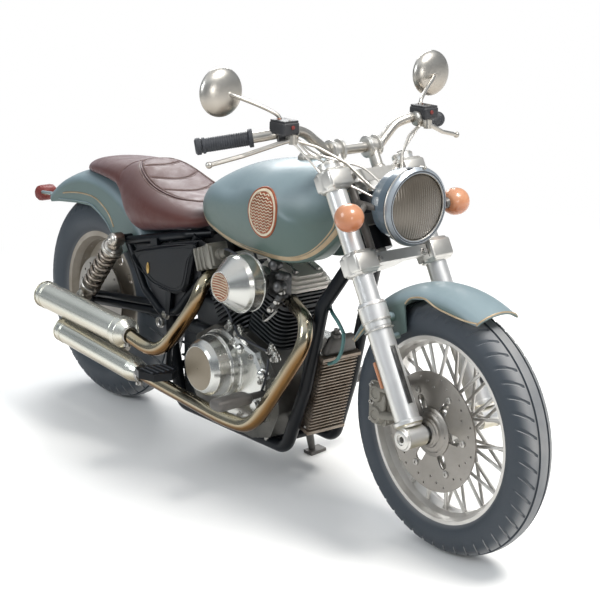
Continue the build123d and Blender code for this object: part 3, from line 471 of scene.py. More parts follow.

# %% The paint shop: one finish for each kind of surface
# Every under colour below is painted shade on faces turned to the road.
LOOK = {
    # The sage paint's darker, greener lower faces are painted shade.
    "green": finish("sage_green_paint", (0.168, 0.226, 0.247), (0.216, 0.280, 0.306), (0.36, 0.48),
        cloud=4.5, fine=60, bump=0.05, depth=0.0004, coat=0.20, haze=0.26, soft=0.0, shine=0.36,
        shaded_under=(0.074, 0.115, 0.099), turn=(0.72, -0.16)),
    "black": finish("blue_black_enamel", (0.003, 0.0035, 0.0045), (0.006, 0.008, 0.011), (0.28, 0.40),
        cloud=6, coat=0.05, haze=0.10, shine=0.17, bump=0.06, edge=(0.07, 0.075, 0.085), edge_amount=0.5),
    "bowl": finish("blue_grey_enamel", (0.055, 0.085, 0.115), (0.085, 0.12, 0.15), (0.28, 0.37), cloud=8,
        coat=0.35, bump=0.03, soft=0.0),
    # The tyre's pale grey is painted light on its crown; its sides are painted near-black shade.
    "tyre": finish("tyre_rubber", (0.150, 0.158, 0.170), (0.225, 0.227, 0.228), (0.50, 0.72), cloud=9,
        fine=420, bump=0.25, depth=0.0008, edge=(0.20, 0.21, 0.22), edge_amount=0.5,
        shaded_sides=(0.030, 0.039, 0.050)),
    "rubber": finish("black_rubber", (0.018, 0.020, 0.025), (0.034, 0.038, 0.046), (0.45, 0.70), cloud=14,
        fine=500, bump=0.2, depth=0.0004, edge=(0.10, 0.10, 0.11)),
    "plastic": finish("black_plastic", (0.018, 0.018, 0.020), (0.028, 0.029, 0.032), (0.40, 0.58),
        cloud=10, fine=700, bump=0.15, depth=0.0003, edge=(0.09, 0.09, 0.09)),
    "chrome": finish("satin_chrome", (0.50, 0.48, 0.44), (0.58, 0.56, 0.52), (0.28, 0.35), metal=0.9,
        cloud=6, fine=180, bump=0.03, soft=0.0, shaded_under=(0.36, 0.32, 0.27)),
    "fork": finish("fork_silver", (0.72, 0.72, 0.715), (0.79, 0.79, 0.785), (0.28, 0.36), metal=0.75,
        cloud=6, fine=60, bump=0.015, soft=0.0, shaded_under=(0.52, 0.48, 0.37)),
    "clamp": finish("clamp_casting", (0.56, 0.545, 0.51), (0.66, 0.645, 0.61), (0.30, 0.40), metal=0.85,
        cloud=9, fine=120, bump=0.05, depth=0.0006, edge=(0.90, 0.89, 0.86), soft=0.002),
    "cast": finish("cast_alloy", (0.19, 0.18, 0.155), (0.29, 0.275, 0.24), (0.42, 0.68), metal=0.7,
        cloud=16, fine=300, bump=0.5, depth=0.0010, edge=(0.50, 0.48, 0.42)),
    "crank": finish("crankcase_alloy", (0.060, 0.058, 0.054), (0.15, 0.145, 0.13), (0.34, 0.55),
        metal=0.8, cloud=11, fine=220, bump=0.3, depth=0.0010, edge=(0.45, 0.44, 0.41), soft=0.002),
    "ring": finish("lamp_ring_steel", (0.30, 0.34, 0.385), (0.42, 0.46, 0.50), (0.28, 0.38), metal=0.65,
        cloud=14, fine=120, bump=0.04, soft=0.0, shaded_under=(0.12, 0.13, 0.14)),
    "engine": finish("engine_black", (0.010, 0.012, 0.014), (0.024, 0.027, 0.030), (0.38, 0.60), cloud=14,
        fine=320, bump=0.25, edge=(0.16, 0.16, 0.16), edge_amount=0.7),
    "case": finish("polished_case", (0.54, 0.54, 0.51), (0.64, 0.64, 0.61), (0.18, 0.262), metal=0.9,
        cloud=8, fine=220, bump=0.04, depth=0.0006, edge=(0.80, 0.80, 0.76), edge_amount=0.3, soft=0.0022),
    "rocker": finish("rocker_silver", (0.70, 0.655, 0.59), (0.80, 0.755, 0.69), (0.36, 0.48), metal=0.2,
        cloud=12, fine=160, bump=0.10, depth=0.0007, edge=(0.80, 0.77, 0.70), soft=0.0025),
    # The header's gold is heat tint; its dark brown belly is painted shade.
    "exhaust": finish("heat_tint_and_belly_shade", (0.42, 0.36, 0.24), (0.52, 0.48, 0.37), (0.16, 0.23), metal=1,
        cloud=7, fine=120, bump=0.03, soft=0.0, shaded_under=(0.165, 0.088, 0.032), turn=(0.42, -0.25)),
    "silencer": finish("silencer_chrome", (0.70, 0.71, 0.64), (0.78, 0.79, 0.72), (0.19, 0.264),
        metal=0.82, cloud=5, fine=140, bump=0.03, soft=0.0, shaded_under=(0.42, 0.36, 0.26)),
    "disc": finish("brake_steel", (0.24, 0.225, 0.205), (0.33, 0.31, 0.285), (0.32, 0.46), metal=0.9,
        cloud=9, fine=240, bump=0.12, edge=(0.62, 0.60, 0.56)),
    "rim": finish("polished_rim", (0.54, 0.52, 0.49), (0.64, 0.625, 0.595), (0.28, 0.44), metal=0.8,
        cloud=14, fine=200, bump=0.08, edge=(0.78, 0.76, 0.72)),
    "rear_rim": finish("beige_wheel_enamel", (0.26, 0.225, 0.18), (0.36, 0.32, 0.27), (0.32, 0.52),
        metal=0.35, cloud=12, fine=240, bump=0.15, edge=(0.55, 0.52, 0.46)),
    "cooler": finish("cooler_alloy", (0.19, 0.145, 0.11), (0.33, 0.28, 0.23), (0.35, 0.6), metal=0.8,
        cloud=18, fine=300, bump=0.3, edge=(0.56, 0.52, 0.46)),
    "spring": finish("bronze_chrome", (0.24, 0.195, 0.155), (0.42, 0.375, 0.33), (0.28, 0.38), metal=1,
        cloud=20, fine=200, bump=0.06, edge=(0.75, 0.72, 0.66)),
    "stand": finish("grey_steel_paint", (0.085, 0.080, 0.074), (0.15, 0.14, 0.13), (0.35, 0.6), metal=0.4,
        cloud=16, fine=260, bump=0.2, edge=(0.42, 0.40, 0.37)),
    # The amber lens's faint emission is a painted glow, and its darker underside painted shade.
    "amber": finish("amber_lens", (0.42, 0.185, 0.095), (0.51, 0.255, 0.145), (0.28, 0.37), cloud=12,
        fine=160, bump=0.03, coat=0.5, soft=0.0, shaded_under=(0.38, 0.12, 0.04), painted_glow=(0.8, 0.22, 0.05)),
    "red": finish("red_lens", (0.130, 0.022, 0.020), (0.20, 0.045, 0.040), (0.44, 0.58), cloud=14,
        fine=160, bump=0.05, shine=0.25, soft=0.0),
    "tan": finish("tan_trim", (0.30, 0.22, 0.13), (0.46, 0.36, 0.24), (0.30, 0.50), metal=0.5, cloud=16,
        fine=260, bump=0.12, edge=(0.66, 0.56, 0.42)),
    "tan_face": finish("clutch_face_tan", (0.20, 0.165, 0.115), (0.25, 0.21, 0.155), (0.34, 0.46),
        metal=0.35, cloud=7, fine=240, bump=0.05),
    "gold": finish("bare_gold", (0.42, 0.27, 0.09), (0.56, 0.40, 0.17), (0.28, 0.38), metal=1, cloud=30,
        fine=300, bump=0.08),
    "copper": finish("copper_inlay", (0.22, 0.055, 0.026), (0.34, 0.10, 0.045), (0.30, 0.52), metal=0.4,
        cloud=40, fine=500, bump=0.2, edge=(0.62, 0.34, 0.20)),
    "cream": finish("cream_enamel", (0.50, 0.42, 0.30), (0.62, 0.55, 0.42), (0.32, 0.5), cloud=40,
        fine=500, bump=0.15, edge=(0.36, 0.24, 0.14)),
    "steel": finish("bolt_steel", (0.34, 0.33, 0.31), (0.52, 0.50, 0.47), (0.28, 0.45), metal=1, cloud=60,
        fine=400, bump=0.1, edge=(0.8, 0.78, 0.74), soft=0.0006),
    "dark_steel": finish("dark_bolt_steel", (0.06, 0.06, 0.062), (0.12, 0.12, 0.12), (0.30, 0.5),
        metal=0.9, cloud=60, fine=400, bump=0.15, edge=(0.4, 0.4, 0.38), soft=0.0006),
    "glass": finish("mirror_glass", (0.80, 0.82, 0.82), (0.86, 0.87, 0.87), (0.02, 0.05), metal=1,
        cloud=4, fine=80, bump=0.0, soft=0.0),
    "teal": finish("teal_hose", (0.045, 0.13, 0.125), (0.09, 0.21, 0.20), (0.35, 0.55), cloud=20,
        fine=400, bump=0.2, soft=0.0),
}
print("finishes:", len(LOOK))

# %% [markdown]
# ## Dressing the solids
#
# Each solid keeps its shape and gets the finish of the real part: gloss paint on tank and fenders, enamel
# on the frame, satin chrome on bar and mirrors, and so on. Solids that get a finer skin further down are
# dressed too, so that nothing is ever bare.

# %% Finish by node
DRESS = {
    "green": "fuel_tank front_fender rear_fender", "black": "frame swingarm side_cover_left side_cover_right",
    "bowl": "headlight_bowl", "tyre": "front_tyre rear_tyre",
    "rubber": "grip_left grip_right front_brake_hose", "plastic": "control_box_left control_box_right seat",
    "chrome": "handlebar lever_left lever_right mirror_left mirror_right rear_axle tank_cap "
              "control_cable_left control_cable_right",
    "fork": "fork_leg_left fork_leg_right front_axle", "clamp": "fork_clamp_bottom fork_clamp_top",
    "cast": "front_brake_caliper rear_belt_pulley", "crank": "engine_case", "ring": "headlight_rim",
    "engine": "cylinder_front cylinder_rear", "case": "air_cleaner crankcase_cover primary_cover",
    "rocker": "rocker_cover_front rocker_cover_rear", "exhaust": "exhaust_header_front exhaust_header_rear",
    "silencer": "silencer_lower silencer_upper", "disc": "front_brake_disc rear_brake_disc",
    "rim": "front_wire_wheel", "rear_rim": "rear_wheel", "cooler": "oil_cooler",
    "spring": "shock_left shock_right",
    "stand": "headlight_bracket front_peg_left front_peg_right side_stand",
    "amber": "turn_signal_left turn_signal_right", "red": "tail_lamp", "glass": "headlight_lens",
}
for look, names in DRESS.items():
    for name in names.split():
        nodes[name].data.materials.clear()
        nodes[name].data.materials.append(LOOK[look])
print("solids with no finish:", sorted(set(nodes) - set(" ".join(DRESS.values()).split())))

# %% [markdown]
# ## Laying trim on a curved skin
#
# Painted bands, welts and beading follow a surface instead of cutting through it. `strip` takes a line
# drawn in the side view, drops it on the skin along one direction, and skins a thin raised ribbon whose
# middle and edges were each dropped on their own. That keeps a ribbon flat on the tank even where the
# tank curls.

# %% Strips and rows of stitches
AFAR = 400.0                    # where a drop starts, in mm before the drawn line


def strip(bench, tree, line, way, width, proud=1.0, sink=0.8):
    """A raised ribbon along a line of upright points, dropped on a surface along one way."""
    way = Vector(way).normalized()
    rows = []
    for i, p in enumerate(line):
        run = (line[min(i + 1, len(line) - 1)] - line[max(i - 1, 0)]).normalized()
        over = run.cross(way).normalized() * width / 2
        spots = [lay(tree, p + over * k - way * AFAR, way, -sink if abs(k) == 1 else proud)[0]
                 for k in (-1, -0.6, 0, 0.6, 1)]
        if None not in spots:
            rows.append(spots)
        if (None in spots or p is line[-1]) and rows:
            if len(rows) > 1:
                bench.grid(rows)
            rows = []


def drop(tree, line, way, proud=0.0, start=AFAR):
    """The line's points dropped on a surface, each with the way out of it."""
    way = Vector(way).normalized()
    found = [lay(tree, p - way * start, way, proud) for p in line]
    return [(spot, out) for spot, out in found if spot is not None]


def even(points, gap):
    """Points a fixed gap apart along a line."""
    out, left = [Vector(points[0])], gap
    for a, b in zip(points, points[1:]):
        a, b = Vector(a), Vector(b)
        while (b - a).length >= left:
            a = a + (b - a).normalized() * left
            out.append(a)
            left = gap
        left -= (b - a).length
    return out


def stitches(bench, spots, gap=7.0, long=4.6, thick=0.75, deep=0.8, high=0.9):
    """Short stitches lying along a line of (spot, way out): down, over and down again."""
    line = even([s for s, _ in spots], gap)
    for a, b in zip(line, line[1:]):
        run = (b - a).normalized()
        out = min(spots, key=lambda s: (s[0] - a).length_squared)[1]
        bench.tube([a - out * deep, a + out * high + run * deep, a + out * high + run * (long - deep),
                    a - out * deep + run * long], thick, 5)


print("strips and stitches ready")

# %% [markdown]
# ## The seat
#
# A cruiser's seat is a moulded foam pad under a sewn leather cover: a dished bucket for the rider with an
# oval sewn-in panel, and a thinner pillion pad running back over the fender. The foam is skinned here as
# one closed table of points, station by station from nose to tail. Seams are where leather is pulled down
# into the foam, so the skin sinks along them and swells between them; a welt and a row of stitches are
# then laid in the groove.

# %% Leather
def leather(name, side_tone, lit_top_tone, dark):
    """Waxed leather: mottled, with pores and creases. Its paler top where it faces the sky is painted
    light, and the darkening in its hollows is painted shade.
    """
    made, g, shader = new_finish(name)
    place = g.add("TexCoord", out="Object")
    clouds, blotch = (g.add("TexNoise", {"Vector": place, "Scale": scale, "Detail": detail})
                      for scale, detail in ((6.5, 6), (34, 4)))
    pores, creases = (g.add("TexVoronoi", {"Vector": place, "Scale": scale}, "Distance",
                            feature="DISTANCE_TO_EDGE") for scale in (420, 58))
    # Painted light: faces turned to the sky mix toward the paler top tone.
    skyward = g.span(g.part(g.add("NewGeometry", out="Normal"), "Z"), 0.15, 0.95, smooth=True)
    painted_top_light = g.maths("MULTIPLY_ADD", g.span(clouds, 0.34, 0.66), 0.25, g.maths("MULTIPLY", skyward, 0.75))
    # Painted shade: ambient occlusion mixes the hollows toward the dark tone.
    hollow_shade = g.add("AmbientOcclusion", {"Distance": 0.02}, "AO", samples=6)
    colour = g.mix(g.span(hollow_shade, 0.55, 0.95), dark, g.mix(painted_top_light, side_tone, lit_top_tone))
    grain = g.add("Bump", {"Strength": 0.35, "Distance": 0.0006, "Height": pores})
    fold = g.add("Bump", {"Strength": 0.12, "Distance": 0.0012, "Height": creases, "Normal": grain})
    g.feed(shader, {"Base Color": colour, "Roughness": g.span(blotch, 0.3, 0.7, (0.38, 0.60)), "Normal": fold,
                    "Specular IOR Level": 0.26, "Sheen Weight": 0.12, "Sheen Roughness": 0.45,
                    "Sheen Tint": (0.80, 0.72, 0.86)})
    return made


# The seat's leather: a red-brown side, a paler top that is painted light, a near-black painted shade.
LOOK["leather"] = leather("brown_leather", (0.082, 0.024, 0.018), (0.108, 0.072, 0.069),
                          (0.026, 0.008, 0.007))
LOOK["thread"] = finish("waxed_thread", (0.16, 0.10, 0.085), (0.26, 0.18, 0.15), (0.5, 0.7), cloud=60,
                        fine=900, bump=0.3, soft=0.0)
print("leather ready")

# %% The cushion's measures
# x, half width, lower edge, top at the middle, dip of the middle below the shoulders, fullness of the section
STATIONS = ((672, 50, 712, 742, 0, 2.2), (652, 84, 700, 748, 1, 2.3), (610, 118, 682, 751, 2, 2.5),
            (550, 135, 668, 757, 4, 2.7), (490, 142, 655, 766, 6, 2.8), (430, 145, 640, 782, 7, 2.8),
            (370, 144, 626, 801, 7, 2.8), (320, 140, 614, 819, 5, 2.8), (280, 136, 610, 830, 2, 2.7),
            (245, 129, 632, 831, 0, 2.6), (214, 118, 690, 827, 1, 2.6), (180, 113, 732, 822, 2, 2.6),
            (120, 109, 744, 818, 2, 2.6), (60, 102, 748, 813, 2, 2.5), (10, 91, 747, 806, 1, 2.4),
            (-35, 75, 744, 796, 0, 2.3), (-72, 56, 740, 784, 0, 2.2), (-98, 36, 736, 772, 0, 2.1),
            (-114, 14, 736, 760, 0, 2.0))
OVAL_X, OVAL_LONG, OVAL_WIDE = 392, 178, 101
CROSS = ((300, 46), (382, 52), (462, 50))       # cross seams: x at the middle, bow toward the nose
SPLIT_X = 206                                   # where the pillion pad begins
SEAM_DEEP, SEAM_WIDE = 2.4, 2.8
SPLIT_DEEP, SPLIT_WIDE = 3.0, 5.0
PANEL_SWELL, PANEL_EASE = 1.6, 30.0             # inside the sewn panel: how high, over how far from a seam
OUTER_SWELL, OUTER_EASE = 0.8, 24.0


def station(x):
    """The section's numbers at any x, between the listed stations."""
    for a, b in zip(STATIONS, STATIONS[1:]):
        if b[0] <= x <= a[0]:
            t = (a[0] - x) / (a[0] - b[0])
            return [p + (q - p) * t for p, q in zip(a, b)]
    return STATIONS[-1] if x < STATIONS[-1][0] else STATIONS[0]


def oval(x, y):
    """How far outside the sewn panel a place is, in mm (negative inside)."""
    k = hypot((x - OVAL_X) / OVAL_LONG, y / OVAL_WIDE)
    return (k - 1) * (OVAL_WIDE if abs(y) / OVAL_WIDE > abs(x - OVAL_X) / OVAL_LONG else OVAL_LONG) * 0.8


def pull(x, y):
    """How far the sewing and the foam move the top skin, in mm: down at a seam, up between seams."""
    inside, seams = oval(x, y) < 0, [abs(oval(x, y))]
    if inside:
        seams += [abs(x - (cx + bow * (1 - (y / OVAL_WIDE) ** 2) - bow)) for cx, bow in CROSS]
    swell, ease = (PANEL_SWELL, PANEL_EASE) if inside else (OUTER_SWELL, OUTER_EASE)
    lift = swell * min(1.0, min(seams) / ease)
    return (lift - SEAM_DEEP / (1 + (min(seams) / SEAM_WIDE) ** 2)
            - SPLIT_DEEP / (1 + (abs(x - SPLIT_X) / SPLIT_WIDE) ** 2))


print("seat:", STATIONS[0][0] - STATIONS[-1][0], "mm long,", 2 * max(s[1] for s in STATIONS), "mm wide")

# %% The cushion
COLUMNS, STEP = 132, 3.4
SWEEP_FROM, SWEEP = -0.28 * pi, 1.56 * pi       # a section runs from under one edge over the top to the other
nose, tail = STATIONS[0][0], STATIONS[-1][0]
places = [nose]
while places[-1] - STEP > tail:
    places.append(places[-1] - STEP)
places.append(tail)
rows = []
for x in places:
    _, half, low, crown, dip, full = np.mean([station(x + d) for d in (-14, -7, 0, 7, 14)], axis=0)
    wide = low + (crown - low) * 0.40
    row = []
    for k in range(COLUMNS):
        a = SWEEP_FROM + SWEEP * k / (COLUMNS - 1)
        c, s = cos(a), sin(a)
        y = half * (abs(c) ** (2 / full)) * (1 if c > 0 else -1)
        up = abs(s) ** (2 / full) * (1 if s > 0 else -1)
        z = wide + up * (crown - wide if up > 0 else wide - low)
        bowl = dip * (1 - (y / half) ** 2) if s > 0 else 0
        tuck = 1 - 0.05 * max(0, -up)
        row.append(Vector((x, y * tuck, z - bowl + (pull(x, y) if s > 0.2 else 0))))
    rows.append(row)
cushion = Bench().grid(rows, closed_columns=True, caps=True)
seat = cushion.make("seat_cushion", "frame", "leather", "leather_brown", sharp=0, stands_for=("seat",))
print("cushion points:", len(seat.data.vertices))

# %% [markdown]
# ## Welts and stitches
#
# The panel's edge is a welt, a thin cord wrapped in leather and sewn between the two covers. It sits in
# the groove with a row of stitches on each side. The cross seams have stitches alone, and a second welt
# runs where the pillion pad begins. The wall is drawn smooth, with no seam.

# %% Sewing
cover = skin_of(seat.data)
ABOVE = 860                     # a height clear of the seat, from which lines are dropped on it


def ring_line(grow, count=120):
    """The sewn panel's edge, grown by some mm."""
    return [Vector((OVAL_X + (OVAL_LONG + grow) * cos(2 * pi * k / count),
                    (OVAL_WIDE + grow) * sin(2 * pi * k / count), ABOVE)) for k in range(count + 1)]


welt, sewing = benches(2)
welt.tube([spot + out * 1.4 for spot, out in drop(cover, ring_line(0), DOWN, start=0)], 2.6, 8)
for grow in (-7, 8):
    stitches(sewing, drop(cover, ring_line(grow), DOWN, 0.2, start=0))
for cx, bow in CROSS:
    for shift in (-4.5, 4.5):
        seam = [Vector((cx + shift + bow * (1 - t * t) - bow, t * OVAL_WIDE * 0.985, ABOVE))
                for t in np.linspace(-0.97, 0.97, 40)]
        stitches(sewing, drop(cover, [p for p in seam if oval(p.x, p.y) < -9], DOWN, 0.2, start=0))
back_seam = [Vector((SPLIT_X + 3, y, ABOVE)) for y in range(-96, 97, 6)]
welt.tube([s + o * 0.6 for s, o in drop(cover, back_seam, DOWN, start=0)], 2.2, 8)
welt.make("seat_welts", "frame", "leather", "leather_brown")
sewing.make("seat_stitches", "frame", "thread", "leather_brown")
print("stitch points:", len(sewing.points))

# %% [markdown]
# ## Tank trim
#
# The tank carries a double band of tan paint along its lower, front and rear edges: one broad line and
# one fine line, as a striper would pull them by hand. On each side is an oval badge. It is a shallow
# copper dish inside two raised rims, filled with rows of raised cream zigzags, the kind of pattern seen
# on knitwear. It is only a pattern: it spells nothing and stands for nobody.
#
# The pressing itself is skinned anew from the plain solid: small even faces, planished smooth, because
# long thin faces show as creases in gloss paint.

# %% The tank's skin
FACE_SIZE, PASSES = 0.0034, 22
pressed = bpy.data.objects.new("tank_pressing", nodes["fuel_tank"].data.copy())
scene.collection.objects.link(pressed)
welded = pressed.modifiers.new("weld", "REMESH")
welded.mode, welded.voxel_size, welded.use_smooth_shade = "VOXEL", FACE_SIZE, True
planished = pressed.modifiers.new("planish", "SMOOTH")
planished.factor, planished.iterations = 0.5, PASSES
smooth_mesh = bpy.data.meshes.new_from_object(pressed.evaluated_get(bpy.context.evaluated_depsgraph_get()))
pressed.modifiers.clear()
pressed.data = smooth_mesh
smooth_mesh.materials.clear()
smooth_mesh.materials.append(LOOK["green"])
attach(pressed, "frame")
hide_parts("fuel_tank")
tank_skin = skin_of(smooth_mesh)
print("tank skin faces:", len(smooth_mesh.polygons))

# %% Bands
HEART = Vector((920, 0, 800))
BAND_FROM, BAND_TO, BAND_STEP = 190.5, 378, 1.5       # degrees in the side view, from the seat to the neck
BANDS = ((6.2, 11.4), (15.6, 3.8))                    # inset from the tank's edge, width


def from_heart(turn, reach):
    return HEART + (AHEAD * cos(radians(turn)) + UP * sin(radians(turn))) * reach


def tank_edge(turn):
    """How far the tank reaches from its heart at a turn in the side view, found by halving."""
    near, far = 60.0, 420.0
    for _ in range(14):
        half = (near + far) / 2
        if lay(tank_skin, from_heart(turn, half) + RIGHT * AFAR, LEFT)[0] is None:
            far = half
        else:
            near = half
    return near


def over_five(values, blend):
    """Each value blended with up to two neighbours on either side."""
    return [blend(values[max(0, i - 2):i + 3]) for i in range(len(values))]


turns = np.arange(BAND_FROM, BAND_TO + BAND_STEP / 2, BAND_STEP)
edge_at = over_five(over_five([tank_edge(t) for t in turns], min), np.mean)
bands = Bench()
for side in (-1, 1):
    for inset, width in BANDS:
        line = [from_heart(t, r - inset) for t, r in zip(turns, edge_at)]
        strip(bands, tank_skin, line, RIGHT * side, width, proud=0.7, sink=0.5)
bands.make("tank_bands", "frame", "tan", "paint_green", sharp=0)
print("band points:", len(bands.points))

# %% Badges
BADGE_X, BADGE_Z, BADGE_WIDE, BADGE_HIGH = 1000, 811, 59.0, 70.0
# Raised rings, each from inside to outside: (part of the size, proud)
DISH = ((0.02, 1.2), (0.2, 1.2), (0.4, 1.2), (0.6, 1.2), (0.78, 1.3), (0.82, 1.4))
OUTER_RIM = ((1.0, -0.5), (0.995, 2.4), (0.97, 3.4), (0.94, 3.4), (0.92, 1.8))
INNER_RIM = ((0.925, 1.6), (0.91, 3.0), (0.86, 3.2), (0.83, 2.8), (0.815, 1.0))
ZIGZAG = (0.034, 0, -0.034, 0)


def badge_spot(u, v, side, proud):
    """A place on the badge: u and v are parts of its half width and half height."""
    start = Vector((BADGE_X + u * BADGE_WIDE, side * AFAR, BADGE_Z + v * BADGE_HIGH))
    return lay(tank_skin, start, RIGHT * side, proud)[0]


def badge_ring(bench, side, radii):
    ways = [(cos(2 * pi * i / 96), sin(2 * pi * i / 96)) for i in range(96)]
    bench.grid([[badge_spot(k * u, k * v, side, proud) for u, v in ways] for k, proud in radii],
               closed_columns=True)


dish, rims, zigzags = benches(3)
for side in (-1, 1):
    badge_ring(dish, side, DISH)
    badge_ring(dish, side, OUTER_RIM)
    badge_ring(rims, side, INNER_RIM)
    for row in range(-6, 7):
        zigzag = [(column * 0.062, row * 0.118 + ZIGZAG[column % 4]) for column in range(-12, 13)]
        spots = [badge_spot(u, v, side, 2.0) for u, v in zigzag if hypot(u, v) < 0.79]
        if len(spots) > 2:
            zigzags.tube(spots, 1.5, 6)
dish.make("badge_dishes", "frame", "copper", "paint_green", sharp=0)
rims.make("badge_rims", "frame", "cream", "chrome_satin")
zigzags.make("badge_zigzags", "frame", "cream", "paint_green")
print("badge zigzag points:", len(zigzags.points))

# %% [markdown]
# ## Tyres with tread
#
# Road tyres drain water through two grooves that run right round and through slanting cuts across the
# shoulders. Their walls carry fine moulding ribs. A tyre is skinned as a table of points, columns round
# the wheel and rows from bead to bead. The columns are sheared along the slanting cuts, so the cuts keep
# sharp edges without a very fine mesh. Grooves only go inward: the crown stays exactly where the plain
# solid touches the road.

# %% Tyre maker
TREAD_HALF = 78                 # degrees of the crown's arc on each side that are tread
GROOVE_DEEP, GROOVE_HALF, GROOVE_LIPS = 4.5, 3, (-4, -2.6, 2.6, 4)
CUT_DEEP, CUT_PITCH, CUT_WIDE, CUT_SLANT = 3.6, 12, 2, 1.35      # the pitch and width are in columns
WALL_RIB_DEEP, WALL_RIB_GAP = 0.5, 3.2


def arc_through(a, b, c, steps):
    """Points on the circle through three points in a plane, from a past b to c."""
    (ax, ay), (bx, by), (cx, cy) = a, b, c
    d = 2 * (ax * (by - cy) + bx * (cy - ay) + cx * (ay - by))
    aa, bb, cc = ax * ax + ay * ay, bx * bx + by * by, cx * cx + cy * cy
    ux = (aa * (by - cy) + bb * (cy - ay) + cc * (ay - by)) / d
    uy = (aa * (cx - bx) + bb * (ax - cx) + cc * (bx - ax)) / d
    start, past, end = (atan2(p[1] - uy, p[0] - ux) for p in (a, b, c))
    turn = (end - start) % (2 * pi)
    if (past - start) % (2 * pi) > turn:
        turn -= 2 * pi
    r = hypot(ax - ux, ay - uy)
    angles = [start + turn * k / steps for k in range(steps + 1)]
    return [(ux + r * cos(a), uy + r * sin(a)) for a in angles]


def tread_tyre(name, body, node, axle, outer, crown, bead, bead_half, groove, cuts):
    """One tyre: groove is each ring groove's distance from the middle, cuts the number of slanting cuts."""
    rim_y = crown * sin(radians(TREAD_HALF))
    rim_r = outer - crown + crown * cos(radians(TREAD_HALF))
    wall = arc_through((bead_half, bead), (crown, (rim_r + bead) / 2 + 4), (rim_y, rim_r), 15)[:-1]
    lips = {side * groove + lip for side in (-1, 1) for lip in GROOVE_LIPS}
    steps = {round(crown * sin(radians(d)), 2) for d in range(-TREAD_HALF, TREAD_HALF + 1, 6)}
    across = sorted(lips | {y for y in steps if abs(abs(y) - groove) > 5})
    section = [(-y, r, False) for y, r in wall]
    section += [(y, outer - crown + sqrt(crown ** 2 - y * y), True) for y in across]
    section += [(y, r, False) for y, r in wall[::-1]]
    columns = cuts * CUT_PITCH

    def depth(y, r, tread, k):
        """How deep the mould bites at one point of the section and one column."""
        if not tread:
            return WALL_RIB_DEEP if abs(y) > bead_half + 3 and int(r / WALL_RIB_GAP) % 2 else 0.0
        phase = (k + (CUT_PITCH // 2 if y > 0 else 0)) % CUT_PITCH
        if groove + 4.5 < abs(y) < crown * 0.93 and phase < CUT_WIDE:
            return CUT_DEEP
        return GROOVE_DEEP if abs(abs(y) - groove) < GROOVE_HALF else 0.0

    rows = []
    for y, r, tread in section:
        shear = CUT_SLANT * abs(y) / crown * 2 * pi / cuts
        angles = [2 * pi * k / columns + shear for k in range(columns)]
        rows.append([axle + Vector((cos(a), 0, sin(a))) * (r - depth(y, r, tread, k)) + LEFT * y
                     for k, a in enumerate(angles)])
    tyre = Bench().grid(rows, closed_columns=True, closed_rows=True)
    made = tyre.make(name, body, "tyre", "tyre_rubber", sharp=32, stands_for=(node,))
    print(name, "faces:", len(made.data.polygons))


tread_tyre("front_tyre_tread", "front_wheel", "front_tyre", FRONT_AXLE, FRONT_R, FRONT_CROWN, 243, 41, 17, 48)
tread_tyre("rear_tyre_tread", "rear_wheel", "rear_tyre", REAR_AXLE, REAR_R, REAR_CROWN, 211, 51, 24, 44)

# %% [markdown]
# ## Headlight, signals and mirrors
#
# Old headlamp glass is fluted: upright ribs moulded in the lens spread the beam sideways. The lens is a
# shallow dome skinned as rings of points, and the ribs are added by pushing the points in and out across
# its width. Round it go a bright bead, a dark gasket and a small rim clip. Signals and mirror shells are
# turned, the mirrors get their glass, and each stem a coloured collar at its foot.

# %% Fluted lens
LAMP = Vector((1447, 0, 886))
LENS_R, LENS_BULGE, LENS_SIDES, LENS_RINGS = 88.0, 15.0, 256, 60
RIB_HIGH, RIB_PITCH, RIB_EASE = 1.1, 7.6, 4


def lens_point(r, k):
    y, z = r * cos(2 * pi * k / LENS_SIDES), r * sin(2 * pi * k / LENS_SIDES)
    dome = LENS_BULGE * (1 - (r / LENS_R) ** 2.2)
    rib = RIB_HIGH * abs(sin(pi * y / RIB_PITCH)) * min(1, (LENS_R - r) / RIB_EASE)
    return LAMP + Vector((dome - 0.6 + rib, y, z))


fluted = Bench().grid([[lens_point(0.4 + 87.2 * i / LENS_RINGS, k) for k in range(LENS_SIDES)]
                       for i in range(LENS_RINGS + 1)], closed_columns=True)
fluted.faces.append(list(range(LENS_SIDES)))
LOOK["lens"] = finish("fluted_lens", (0.072, 0.060, 0.046), (0.112, 0.096, 0.076), (0.18, 0.262), metal=0.35,
                      cloud=9, fine=90, bump=0.02, coat=0.5, haze=0.1, soft=0.0)
fluted.make("headlight_glass", "steering", "lens", "lens_glass", sharp=0, stands_for=("headlight_lens",))
print("lens points:", len(fluted.points))

# %% Lamp trim, signals and mirrors
# Turned profiles are lists of (distance along, radius)
MIRROR, MIRROR_R, SIGNAL = (1084, 361, 1165), 64, (1397, 150, 871)
STEM = ((1186, 243, 1080), (1181, 245, 1106), (1158, 284, 1131), (1128, 338, 1156), (1110, 354, 1164))
STEM_END = ((-3, 10), (3, 10), (9, 8), (13, 5.4))
COLLAR = ((0, 12), (4, 12), (5, 8.5), (16, 8), (22, 6.4))
EGG = [(0, 6)] + [(s, 36.4 * (1 - abs((s - 33) / 38) ** 2.25) ** 0.5) for s in range(2, 70, 4)] + [(70, 6)]
SHELL = [(1.6, 57.6), (0, 58.5), (0.4, 62), (3, 63.8)]
SHELL += [(6 + 29.4 * sin(radians(a)), MIRROR_R * cos(radians(a)) ** 0.92)
          for a in (0, 8, 16, 24, 32, 40, 48, 56, 64, 72, 79, 85, 89.5)]


def flip(point, side):
    """A point given on the left, on the side that side names."""
    return Vector((point[0], point[1] * side, point[2]))


